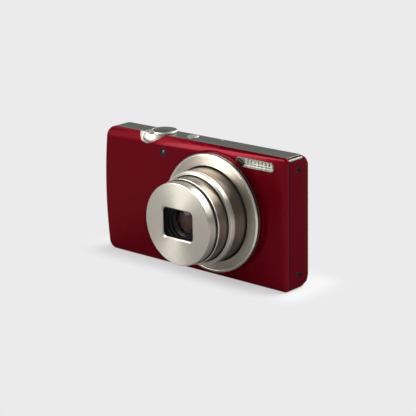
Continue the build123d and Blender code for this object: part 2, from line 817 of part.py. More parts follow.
reflector_left = flash_x - flash_length / 2 + reflector_inset
reflector_right = flash_x + flash_length / 2 - reflector_inset
reflector_low = flash_z - flash_height / 2 + reflector_edge
reflector_high = flash_z + flash_height / 2 - reflector_edge
reflector_back = front_cover_depth + reflector_depth
tube_depth = reflector_back - reflector_wall - flash_tube_radius - flash_tube_room
with BuildPart() as flash_reflector:
    box_between((reflector_left, reflector_right), (front_cover_depth, reflector_back),
                (reflector_low, reflector_high))
    trough_width = reflector_right - reflector_left - 2 * reflector_wall
    trough_height = reflector_high - reflector_low - reflector_wall
    for y, high in ((front_cover_depth, trough_height),
                    (reflector_back - reflector_wall, 2 * flash_tube_radius + flash_tube_room)):
        with BuildSketch(at(y)):
            with Locations((flash_x, flash_z)):
                Rectangle(trough_width, high)
    loft(ruled=True, mode=Mode.SUBTRACT)
    rod_along((reflector_left - 1, reflector_right + 1), tube_depth, flash_z, flash_tube_radius,
              Mode.SUBTRACT)
flash_reflector.part.label = "flash_reflector"
export_step(flash_reflector.part, "parts/flash_reflector.step")

with BuildPart() as flash_tube:
    rod_along((reflector_left, reflector_right), tube_depth, flash_z, flash_tube_radius)
flash_tube.part.label = "flash_tube"
export_step(flash_tube.part, "parts/flash_tube.step")

with BuildPart() as flash_capacitor:
    rod_up(capacitor_x, chassis_plate_face - capacitor_radius, capacitor_radius,
           (capacitor_low, capacitor_low + capacitor_length))
    fillet(flash_capacitor.edges().filter_by(GeomType.CIRCLE), capacitor_rim)
flash_capacitor.part.label = "flash_capacitor"
export_step(flash_capacitor.part, "parts/flash_capacitor.step")

# Round lamp beside the flash, with its light behind it
with BuildPart() as af_lamp_lens:
    with BuildSketch(Plane(origin=(lamp_x, front, lamp_z), x_dir=(1, 0, 0), z_dir=(0, 0, 1))):
        with BuildLine():
            Line((0, -lamp_dome), (0, front_cover_depth))
            Line((0, front_cover_depth), (lamp_radius, front_cover_depth))
            Line((lamp_radius, front_cover_depth), (lamp_radius, 0))
            TangentArc((0, -lamp_dome), (lamp_radius, 0), tangent=(1, 0))
        make_face()
    revolve(axis=Axis((lamp_x, front, lamp_z), (0, 1, 0)))
af_lamp_lens.part.label = "af_lamp_lens"
export_step(af_lamp_lens.part, "parts/af_lamp_lens.step")

with BuildPart() as af_led:
    rod_back(lamp_x, lamp_z, led_radius, (front_cover_depth, front_cover_depth + led_length))
af_led.part.label = "af_led"
export_step(af_led.part, "parts/af_led.step")

# Shutter button: a crowned disc on a stem, just above the top plate
shutter_low = height + shutter_travel + play
shutter_top = height + shutter_height
stem_low = plate_low - stem_end
with BuildPart() as shutter_button:
    with BuildSketch(Plane(origin=(shutter_x, front + shutter_depth, 0), x_dir=(1, 0, 0), z_dir=(0, -1, 0))):
        with BuildLine():
            Line((0, stem_low), (shutter_stem_radius, stem_low))
            Line((shutter_stem_radius, stem_low), (shutter_stem_radius, shutter_low))
            Line((shutter_stem_radius, shutter_low), (shutter_radius, shutter_low))
            Line((shutter_radius, shutter_low), (shutter_radius, shutter_top - shutter_crown))
            TangentArc((0, shutter_top), (shutter_radius, shutter_top - shutter_crown),
                       tangent=(1, 0))
            Line((0, shutter_top), (0, stem_low))
        make_face()
    revolve(axis=Axis((shutter_x, front + shutter_depth, 0), (0, 0, 1)))
shutter_button.part.label = "shutter_button"
export_step(shutter_button.part, "parts/shutter_button.step")

# Zoom lever: a chamfered ring round the shutter button, with a tab over the finger scoop
lever_low = height + running_gap
lever_plane = Plane(origin=(shutter_x, front + shutter_depth, lever_low), x_dir=(1, 0, 0), z_dir=(0, 0, 1))
with BuildPart() as zoom_lever:
    with BuildSketch(lever_plane):
        Circle(lever_outer_radius)
        with Locations(Rotation(0, 0, -lever_tab_angle)):
            with Locations((0, -lever_tab_reach / 2)):
                RectangleRounded(lever_tab_width, lever_tab_reach, lever_tab_corner)
        Circle(lever_inner_radius, mode=Mode.SUBTRACT)
    extrude(amount=lever_height)
    chamfer(zoom_lever.faces().sort_by(Axis.Z)[-1].outer_wire().edges(), lever_edge)
zoom_lever.part.label = "zoom_lever"
export_step(zoom_lever.part, "parts/zoom_lever.step")

# Power button and microphone
with BuildPart() as power_button:
    rod_up(power_x, power_depth, power_radius, (plate_low - stem_end, height + power_height))
    fillet(power_button.faces().sort_by(Axis.Z)[-1].edges(), power_edge)
power_button.part.label = "power_button"
export_step(power_button.part, "parts/power_button.step")

with BuildPart() as microphone:
    rod_up(mic_x, mic_depth, mic_radius, (plate_low - stem_end, height + mic_stand))
microphone.part.label = "microphone"
export_step(microphone.part, "parts/microphone.step")

# Screen: glass window flush with the back, display panel behind it
with BuildPart() as screen_window:
    with BuildSketch(at(back_wall_face)):
        with Locations((window_x, window_z)):
            RectangleRounded(window_width, window_height, window_corner)
    extrude(amount=-wall)
screen_window.part.label = "screen_window"
export_step(screen_window.part, "parts/screen_window.step")

board_back = board_face + board_thickness
with BuildPart() as screen_panel:
    box_between((window_left + panel_margin, window_right - panel_margin), (board_back, back_wall_face),
                (window_low + panel_margin, window_high - panel_margin))
screen_panel.part.label = "screen_panel"
export_step(screen_panel.part, "parts/screen_panel.step")

# Buttons on the back: each a rounded cap with a flange behind the wall
flange_back = back_wall_face - seam
for name, (x, z, radius) in push_buttons.items():
    with BuildPart() as button:
        rod_back(x, z, radius, (flange_back, depth + button_stand))
        fillet(button.faces().sort_by(Axis.Y)[-1].edges(), button_edge)
        rod_back(x, z, radius + button_flange, (flange_back - button_flange_thickness, flange_back))
    button.part.label = name
    export_step(button.part, "parts/" + name + ".step")

with BuildPart() as control_ring:
    rod_back(ring_x, ring_z, ring_radius, (depth + button_stand - ring_thickness, depth + button_stand))
    rod_back(ring_x, ring_z, set_radius + play, (0, depth + 1), Mode.SUBTRACT)
    chamfer(control_ring.faces().sort_by(Axis.Y)[-1].edges(), button_edge)
control_ring.part.label = "control_ring"
export_step(control_ring.part, "parts/control_ring.step")

with BuildPart() as set_button:
    rod_back(ring_x, ring_z, set_radius, (depth - ring_thickness, depth + button_stand))
    fillet(set_button.faces().sort_by(Axis.Y)[-1].edges(), button_edge)
set_button.part.label = "set_button"
export_step(set_button.part, "parts/set_button.step")

with BuildPart() as indicator_lamp:
    rod_back(indicator_x, indicator_z, indicator_radius,
             (back_wall_face - indicator_foot, depth + indicator_stand))
indicator_lamp.part.label = "indicator_lamp"
export_step(indicator_lamp.part, "parts/indicator_lamp.step")

with BuildPart() as thumb_rest:
    with BuildSketch(at(depth - thumb_recess)):
        with Locations((thumb_x, thumb_z)):
            RectangleRounded(thumb_width, thumb_height, thumb_corner)
    extrude(amount=-(thumb_recess + thumb_stand))
    fillet(thumb_rest.faces().sort_by(Axis.Y)[-1].edges(), thumb_edge)
thumb_rest.part.label = "thumb_rest"
export_step(thumb_rest.part, "parts/thumb_rest.step")


# Battery door: a plate with a knuckle at each end of its front edge, cut to the body's outer shape
knuckles = ((door_knuckle_left, sleeve_left - seam), (sleeve_right + door_slide + seam, door_right))
pin_ends = (door_knuckle_left + door_pin_inset, door_right - door_pin_inset)
with BuildPart() as battery_door:
    add(outer_body)
    with BuildSketch(across(-width)):
        with BuildLine():
            Polyline((pin_depth, -1), (door_back, -1), (door_back, door_thickness),
                     (pin_depth, door_thickness), close=True)
        make_face()
    extrude(amount=width + door_right, mode=Mode.INTERSECT)
    box_between((sleeve_left - seam, sleeve_right + door_slide + seam),
                (door_front - 1, pin_depth + door_knuckle_radius + play), (-1, height), Mode.SUBTRACT)
    for ends in knuckles:
        rod_along(ends, pin_depth, pin_z, door_knuckle_radius)
    add(outer_body, mode=Mode.INTERSECT)
    rod_along(pin_ends, pin_depth, pin_z, door_pin_radius + running_gap, Mode.SUBTRACT)
battery_door.part.label = "battery_door"
export_step(battery_door.part, "parts/battery_door.step")

with BuildPart() as battery_door_pin:
    rod_along(pin_ends, pin_depth, pin_z, door_pin_radius)
battery_door_pin.part.label = "battery_door_pin"
export_step(battery_door_pin.part, "parts/battery_door_pin.step")

# Flap over the cable socket, hinged at its front edge
flap_x = left + flap_knuckle_radius + flap_inset
flap_pin_depth = flap_front + flap_knuckle_radius
with BuildPart() as terminal_cover:
    add(outer_body)
    box_between((-width, left + flap_thickness), (flap_pin_depth, flap_back), (flap_low, flap_high),
                Mode.INTERSECT)
    rod_up(flap_x, flap_pin_depth, flap_knuckle_radius, (flap_low, flap_high))
    add(outer_body, mode=Mode.INTERSECT)
terminal_cover.part.label = "terminal_cover"
export_step(terminal_cover.part, "parts/terminal_cover.step")

with BuildPart() as strap_bar:
    rod_up(left + strap_bar_radius + strap_bar_inset, (strap_front + strap_back) / 2, strap_bar_radius,
           (strap_low - strap_wall, strap_high + strap_wall))
strap_bar.part.label = "strap_bar"
export_step(strap_bar.part, "parts/strap_bar.step")

# Chassis: a band inside the walls and a cross plate that holds the lens housing
chassis_edge = wall + chassis_gap
chassis_top = plate_low - chassis_gap
inner_edge = chassis_edge + chassis_band
hole_low = chassis_top - 2 * chassis_band
band_front = front_cover_depth + seam
holder_right = battery_right + holder_gap + holder_wall
holder_top = battery_high + contact_height + holder_wall
latch_left = battery_right + seam
latch_clear_x = latch_left + latch_thickness + latch_travel + latch_room
latch_front = battery_face + latch_depth
latch_clear_depths = (latch_front - 2 * seam, latch_front + latch_width + 2 * seam)
latch_clear_top = battery_low + latch_height + latch_room
with BuildPart() as chassis:
    with BuildSketch(at(band_front)):
        add(outline(chassis_edge, height - chassis_top, chassis_edge, chassis_edge))
        add(outline(inner_edge, height - chassis_top + chassis_band, inner_edge, inner_edge),
            mode=Mode.SUBTRACT)
    extrude(amount=band_front - chassis_plate_back)
    with BuildSketch(at(chassis_plate_face)):
        add(outline(chassis_edge, height - chassis_top, chassis_edge, chassis_edge))
    extrude(amount=chassis_plate_face - chassis_plate_back)
    for z in side_screw_zs:
        box_between((right - screw_length - 1, right - chassis_edge),
                    (side_screw_depth - screw_post_front, chassis_plate_face),
                    (z - screw_post, z + screw_post))
    for x in bottom_screw_xs:
        box_between((x - screw_post, x + screw_post), (bottom_screw_depth - screw_post, chassis_plate_face),
                    (chassis_edge, screw_length + 1))
    rod_back(lens_x, lens_z, housing_outer + seam, (0, depth), Mode.SUBTRACT)
    rod_back(lens_x, lens_z, housing_outer + housing_flange + seam, (0, chassis_plate_face), Mode.SUBTRACT)
    box_between((-width, holder_right + seam), (0, depth), (0, holder_top + seam), Mode.SUBTRACT)
    box_between((reflector_left - chassis_clearance, reflector_right + chassis_clearance),
                (0, reflector_back + chassis_clearance), (reflector_low - chassis_clearance, height),
                Mode.SUBTRACT)
    rod_up(shutter_x, shutter_depth, shutter_stem_radius + play, (hole_low, height), Mode.SUBTRACT)
    rod_up(power_x, power_depth, power_radius + play, (hole_low, height), Mode.SUBTRACT)
    rod_up(mic_x, mic_depth, mic_radius + play, (hole_low, height), Mode.SUBTRACT)
    with BuildSketch(at(0)):
        add(scoop_shape(2 * seam))
    extrude(amount=-(scoop_depth + 2 * seam), mode=Mode.SUBTRACT)
    box_between((tripod_x - tripod_radius - seam, tripod_x + tripod_radius + seam),
                (tripod_depth - tripod_radius - seam, tripod_depth + tripod_radius + seam),
                (0, 2 * chassis_edge), Mode.SUBTRACT)
    box_between((-width, latch_clear_x), latch_clear_depths, (0, latch_clear_top), Mode.SUBTRACT)
    for z in side_screw_zs:
        rod_along((right - screw_length - screw_recess, right), side_screw_depth, z, screw_shank_radius,
                  Mode.SUBTRACT)
    for x in bottom_screw_xs:
        rod_up(x, bottom_screw_depth, screw_shank_radius, (0, screw_length + screw_recess), Mode.SUBTRACT)
chassis.part.label = "chassis"
export_step(chassis.part, "parts/chassis.step")

# Screws with crossed slots, head up along their own Z
with BuildPart() as screw:
    with Locations((0, 0, -screw_recess)):
        Cylinder(screw_head_radius, screw_head_thickness, align=(Align.CENTER, Align.CENTER, Align.MAX))
        Cylinder(screw_shank_radius, screw_length, align=(Align.CENTER, Align.CENTER, Align.MAX))
        for turned in (0, 90):
            Box(screw_slot_length, screw_slot, screw_slot, rotation=(0, 0, turned),
                align=(Align.CENTER, Align.CENTER, Align.MAX), mode=Mode.SUBTRACT)

with BuildPart() as side_screws:
    for z in side_screw_zs:
        add(Plane(origin=(right, front + side_screw_depth, z), z_dir=(1, 0, 0)) * screw.part)
side_screws.part.label = "side_screws"
export_step(side_screws.part, "parts/side_screws.step")

with BuildPart() as bottom_screws:
    for x in bottom_screw_xs:
        add(Plane(origin=(x, front + bottom_screw_depth, 0), z_dir=(0, 0, -1)) * screw.part)
bottom_screws.part.label = "bottom_screws"
export_step(bottom_screws.part, "parts/bottom_screws.step")

# Tripod socket: a threaded tube with a block inside the body
with BuildPart() as tripod_socket:
    rod_up(tripod_x, tripod_depth, tripod_radius, (0, 2 * chassis_edge))
    block_low = chassis_edge + chassis_band
    box_between((tripod_x - tripod_block[0] / 2, tripod_x + tripod_block[0] / 2),
                (tripod_depth - tripod_block[1] / 2, tripod_depth + tripod_block[1] / 2),
                (block_low, block_low + tripod_block[2]))
    rod_up(tripod_x, tripod_depth, tripod_bore_radius, (-1, tripod_bore_length), Mode.SUBTRACT)
tripod_socket.part.label = "tripod_socket"
export_step(tripod_socket.part, "parts/tripod_socket.step")

# Battery, its bay and its contacts
with BuildPart() as battery:
    box_between((battery_left, battery_right), (battery_face, battery_back), (battery_low, battery_high))
    fillet(battery.edges().filter_by(Axis.Z), battery_corner)
battery.part.label = "battery"
export_step(battery.part, "parts/battery.step")

holder_face = battery_face - holder_wall
with BuildPart() as battery_holder:
    box_between((battery_left - holder_gap, holder_right), (holder_face, battery_face - seam),
                (door_cut_top + seam, holder_top))
    box_between((holder_right - holder_wall, holder_right), (holder_face, battery_back + holder_gap),
                (door_cut_top + seam, holder_top))
    box_between((battery_left - holder_gap, holder_right), (holder_face, battery_back + holder_gap),
                (holder_top - holder_wall, holder_top))
    box_between((holder_right - holder_wall - 1, holder_right + 1), latch_clear_depths, (0, latch_clear_top),
                Mode.SUBTRACT)
battery_holder.part.label = "battery_holder"
export_step(battery_holder.part, "parts/battery_holder.step")

with BuildPart() as battery_contacts:
    for place in (-1.5, -0.5, 0.5):
        x = battery_x + place * contact_pitch
        box_between((x - contact_width / 2, x + contact_width / 2),
                    (battery_face + contact_margin, battery_back - contact_margin),
                    (battery_high, battery_high + contact_height))
battery_contacts.part.label = "battery_contacts"
export_step(battery_contacts.part, "parts/battery_contacts.step")

# Spring latch whose hook keeps the battery in when the door is open
latch_low = door_cut_top + seam
latch_depths = (latch_front, latch_front + latch_width)
with BuildPart() as battery_latch:
    box_between((latch_left, latch_left + latch_thickness), latch_depths,
                (latch_low, battery_low + latch_height))
    box_between((latch_left - latch_hook, latch_left), latch_depths, (latch_low, battery_low - seam))
battery_latch.part.label = "battery_latch"
export_step(battery_latch.part, "parts/battery_latch.step")

# Memory card in its sheet-metal socket
card_left = card_x - card_width / 2
card_right = card_x + card_width / 2
card_back = card_face + card_thickness
with BuildPart() as memory_card:
    with BuildSketch(at(card_face)):
        with BuildLine():
            Polyline((card_left, card_low), (card_right, card_low), (card_right, card_low + card_height),
                     (card_left + card_notch, card_low + card_height),
                     (card_left, card_low + card_height - card_notch), close=True)
        make_face()
    extrude(amount=-card_thickness)
memory_card.part.label = "memory_card"
export_step(memory_card.part, "parts/memory_card.step")

with BuildPart() as card_socket:
    box_between((card_left - socket_gap - socket_wall, card_right + socket_gap + socket_wall),
                (card_face - socket_gap - socket_wall, holder_face),
                (socket_low, card_low + card_height + socket_wall))
    box_between((card_left - socket_gap, card_right + socket_gap),
                (card_face - socket_gap, card_back + socket_gap),
                (socket_low - 1, card_low + card_height), Mode.SUBTRACT)
card_socket.part.label = "card_socket"
export_step(card_socket.part, "parts/card_socket.step")

# Cable socket behind the flap: a shell round a tongue
usb_left = left + flap_thickness + flap_room
usb_back = usb_face + usb_thickness
with BuildPart() as usb_socket:
    box_between((usb_left, usb_left + usb_length), (usb_face, usb_back),
                (usb_z - usb_width / 2, usb_z + usb_width / 2))
    box_between((usb_left - 1, usb_left + usb_length - usb_wall), (usb_face + usb_wall, usb_back - usb_wall),
                (usb_z - usb_width / 2 + usb_wall, usb_z + usb_width / 2 - usb_wall), Mode.SUBTRACT)
    box_between((usb_left + usb_mouth, usb_left + usb_length),
                (usb_face + usb_tongue_face, usb_back - usb_tongue_face),
                (usb_z - usb_width / 2 + usb_tongue_side, usb_z + usb_width / 2 - usb_tongue_side))
usb_socket.part.label = "usb_socket"
export_step(usb_socket.part, "parts/usb_socket.step")

# Zoom motor on the chassis plate, beside the lens housing's shoulder
motor_reach = housing_outer + housing_flange + motor_gap + motor_radius
motor_x = lens_x - sqrt(motor_reach ** 2 - (motor_z - lens_z) ** 2)
motor_front = chassis_plate_face - motor_length
with BuildPart() as zoom_motor:
    rod_back(motor_x, motor_z, motor_radius, (motor_front, chassis_plate_face))
    rod_back(motor_x, motor_z, motor_shaft_radius, (motor_front - motor_shaft_length, chassis_plate_face))
zoom_motor.part.label = "zoom_motor"
export_step(zoom_motor.part, "parts/zoom_motor.step")

# Main circuit board behind the display, cut out at the sensor board
with BuildPart() as main_board:
    with BuildSketch(at(board_face)):
        with Locations(((board_left + board_right) / 2, (board_low + board_high) / 2)):
            RectangleRounded(board_right - board_left, board_high - board_low, board_corner)
    extrude(amount=-board_thickness)
    for x, z in connector_places:
        with Locations((lens_x + x, front + board_face - connector[1] / 2, z)):
            Box(*connector)
main_board.part.label = "main_board"
export_step(main_board.part, "parts/main_board.step")

top_board_top = chassis_top - chassis_band
with BuildPart() as top_board:
    box_between((scoop_left, power_x + top_board_end), (scoop_depth + top_board_front, chassis_plate_face),
                (top_board_top - top_board_thickness, top_board_top))
top_board.part.label = "top_board"
export_step(top_board.part, "parts/top_board.step")

speaker_radius = (top_board_top - holder_top - speaker_room) / 2
with BuildPart() as speaker:
    rod_back(speaker_x, holder_top + speaker_radius, speaker_radius,
             (chassis_plate_face - speaker_length, chassis_plate_face))
speaker.part.label = "speaker"
export_step(speaker.part, "parts/speaker.step")
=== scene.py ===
import math

import bpy
from mathutils import Matrix, Vector


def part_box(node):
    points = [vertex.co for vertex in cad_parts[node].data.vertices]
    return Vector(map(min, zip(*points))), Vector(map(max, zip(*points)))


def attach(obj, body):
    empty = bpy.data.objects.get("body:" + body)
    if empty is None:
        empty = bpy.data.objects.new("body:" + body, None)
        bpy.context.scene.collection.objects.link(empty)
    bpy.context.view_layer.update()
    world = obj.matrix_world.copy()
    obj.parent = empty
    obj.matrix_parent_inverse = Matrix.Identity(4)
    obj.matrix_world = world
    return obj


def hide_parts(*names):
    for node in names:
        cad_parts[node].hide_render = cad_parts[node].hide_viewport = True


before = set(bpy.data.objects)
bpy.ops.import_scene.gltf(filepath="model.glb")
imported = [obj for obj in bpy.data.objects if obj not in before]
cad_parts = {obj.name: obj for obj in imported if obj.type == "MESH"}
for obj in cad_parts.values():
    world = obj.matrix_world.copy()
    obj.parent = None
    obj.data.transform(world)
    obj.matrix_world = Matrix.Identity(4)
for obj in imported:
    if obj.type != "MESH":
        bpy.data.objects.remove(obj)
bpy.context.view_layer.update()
mm = 0.001
bodyFront = -8.6  # where the front face is; depths run back from it, in millimetres
lensX, lensZ = 13.3, 26.2


def spot(x, depth, z):
    return Vector((x, bodyFront + depth, z)) * mm


# camera as fitted to the photograph, a pale floor and five soft lamps
viewPlace = {
    "location": (0.3791, -0.4235, 0.1885),
    "yaw": 41.74,
    "pitch": 16.22,
    "roll": -1.12,
    "lens": 129.8,
    "sensor": 36.0,
    "clipStart": 0.01,
}

studio = {
    "floorSize": 8.0,
    "floorColour": (0.83, 0.83, 0.835, 1),
    "floorRoughness": 0.9,
    "backdropColour": (0.83, 0.83, 0.83, 1),
    "footprintHalf": (0.0476, 0.0086, 10),
    "shadowReach": (0.0, 0.014),
    "worldColour": (0.95, 0.97, 1.0, 1),
    "plainShare": 0.55,
    "mirrorShare": 0.3,
    "mirrorColour": (0.04, 0.04, 0.04, 1),
    "worldStrength": 0.42,
    "lamps": {
        "backSoftbox": {"place": (0.30, 0.72, 0.62), "size": (1.10, 0.60), "power": 17.0},
        "frontSoftbox": {"place": (-0.58, -0.96, 0.57), "size": (0.85, 0.80), "power": 3.4},
        "shoulderCard": {"place": (-0.130, -0.235, 0.18), "size": (0.16, 0.31), "power": 1.15,
                         "unseenBy": ("diffuse",)},
        "rightFill": {"place": (0.70, -0.80, 0.40), "size": (0.50, 0.50), "power": 1.5,
                      "unseenBy": ("glossy",)},
        "topSoftbox": {"place": (0.05, -0.62, 0.90), "size": (0.50, 0.25), "power": 1.2},
    },
    "lampAim": (0, 0, 0.02),
}


def placeCamera(v):
    yaw, pitch, roll = (math.radians(v[k]) for k in ("yaw", "pitch", "roll"))
    forward = Vector((-math.sin(yaw) * math.cos(pitch), math.cos(yaw) * math.cos(pitch),
                      -math.sin(pitch)))
    across = Vector((math.cos(yaw), math.sin(yaw), 0))
    upward = across.cross(forward)
    turned = math.cos(roll) * across + math.sin(roll) * upward
    upward = math.cos(roll) * upward - math.sin(roll) * across
    data = bpy.data.cameras.new("photoCamera")
    data.lens = v["lens"]
    data.sensor_width = v["sensor"]
    data.clip_start = v["clipStart"]
    camera = bpy.data.objects.new("photoCamera", data)
    bpy.context.scene.collection.objects.link(camera)
    turn = Matrix((turned, upward, -forward)).transposed()
    camera.matrix_world = Matrix.Translation(v["location"]) @ turn.to_4x4()
    bpy.context.scene.camera = camera


def addNode(tree, kind, inputs=None, **settings):
    node = tree.nodes.new(kind)
    for key, value in settings.items():
        setattr(node, key, value)
    for key, value in (inputs or {}).items():
        node.inputs[key].default_value = value
    return node


def buildFloor(s):
    bpy.ops.mesh.primitive_plane_add(size=s["floorSize"], location=(0, 0, 0))
    floor = bpy.context.object
    floor.name = "floor"
    floorPaint = bpy.data.materials.new("floorPaint")
    floorPaint.use_nodes = True
    tree = floorPaint.node_tree
    shader = tree.nodes["Principled BSDF"]
    shader.inputs["Base Color"].default_value = s["floorColour"]
    shader.inputs["Roughness"].default_value = s["floorRoughness"]
    shader.inputs["Specular IOR Level"].default_value = 0.0
    # away from the object the camera sees more of a plain backdrop colour, close to it the floor with its
    # shadow
    coords = addNode(tree, "ShaderNodeTexCoord")
    mirrored = addNode(tree, "ShaderNodeVectorMath", operation="ABSOLUTE")
    outside = addNode(tree, "ShaderNodeVectorMath", operation="SUBTRACT", inputs={1: s["footprintHalf"]})
    away = addNode(tree, "ShaderNodeVectorMath", operation="MAXIMUM")
    length = addNode(tree, "ShaderNodeVectorMath", operation="LENGTH")
    reach = addNode(tree, "ShaderNodeMapRange", interpolation_type="SMOOTHSTEP",
                    inputs={"From Min": s["shadowReach"][0], "From Max": s["shadowReach"][1],
                            "To Min": s["plainShare"]})
    path = addNode(tree, "ShaderNodeLightPath")
    both = addNode(tree, "ShaderNodeMath", operation="MULTIPLY")
    plain = addNode(tree, "ShaderNodeEmission", inputs={"Color": s["backdropColour"]})
    mixed = addNode(tree, "ShaderNodeMixShader")
    # reflections see a dimmer table
    mirrorShare = addNode(tree, "ShaderNodeMath", operation="MULTIPLY", inputs={1: s["mirrorShare"]})
    dim = addNode(tree, "ShaderNodeEmission", inputs={"Color": s["mirrorColour"]})
    seen = addNode(tree, "ShaderNodeMixShader")
    link = tree.links.new
    link(coords.outputs["Object"], mirrored.inputs[0])
    link(mirrored.outputs[0], outside.inputs[0])
    link(outside.outputs[0], away.inputs[0])
    link(away.outputs[0], length.inputs[0])
    link(length.outputs["Value"], reach.inputs["Value"])
    link(reach.outputs["Result"], both.inputs[0])
    link(path.outputs["Is Camera Ray"], both.inputs[1])
    link(both.outputs[0], mixed.inputs[0])
    link(shader.outputs[0], mixed.inputs[1])
    link(plain.outputs[0], mixed.inputs[2])
    link(path.outputs["Is Glossy Ray"], mirrorShare.inputs[0])
    link(mirrorShare.outputs[0], seen.inputs[0])
    link(mixed.outputs[0], seen.inputs[1])
    link(dim.outputs[0], seen.inputs[2])
    link(seen.outputs[0], tree.nodes["Material Output"].inputs["Surface"])
    floor.data.materials.append(floorPaint)


def hangLamps(s):
    for name, lamp in s["lamps"].items():
        data = bpy.data.lights.new(name, "AREA")
        data.shape = "RECTANGLE"
        data.size, data.size_y = lamp["size"]
        data.energy = lamp["power"]
        hung = bpy.data.objects.new(name, data)
        for kind in lamp.get("unseenBy", ()):
            setattr(hung, "visible_" + kind, False)
        bpy.context.scene.collection.objects.link(hung)
        hung.location = lamp["place"]
        aim = Vector(s["lampAim"]) - Vector(lamp["place"])
        hung.rotation_euler = aim.to_track_quat("-Z", "Y").to_euler()
    world = bpy.data.worlds.new("studioWorld")
    world.use_nodes = True
    background = world.node_tree.nodes["Background"]
    background.inputs["Color"].default_value = s["worldColour"]
    background.inputs["Strength"].default_value = s["worldStrength"]
    bpy.context.scene.world = world
    bpy.context.scene.view_settings.view_transform = "Standard"


placeCamera(viewPlace)
buildFloor(studio)
hangLamps(studio)
print("camera, floor and light done")

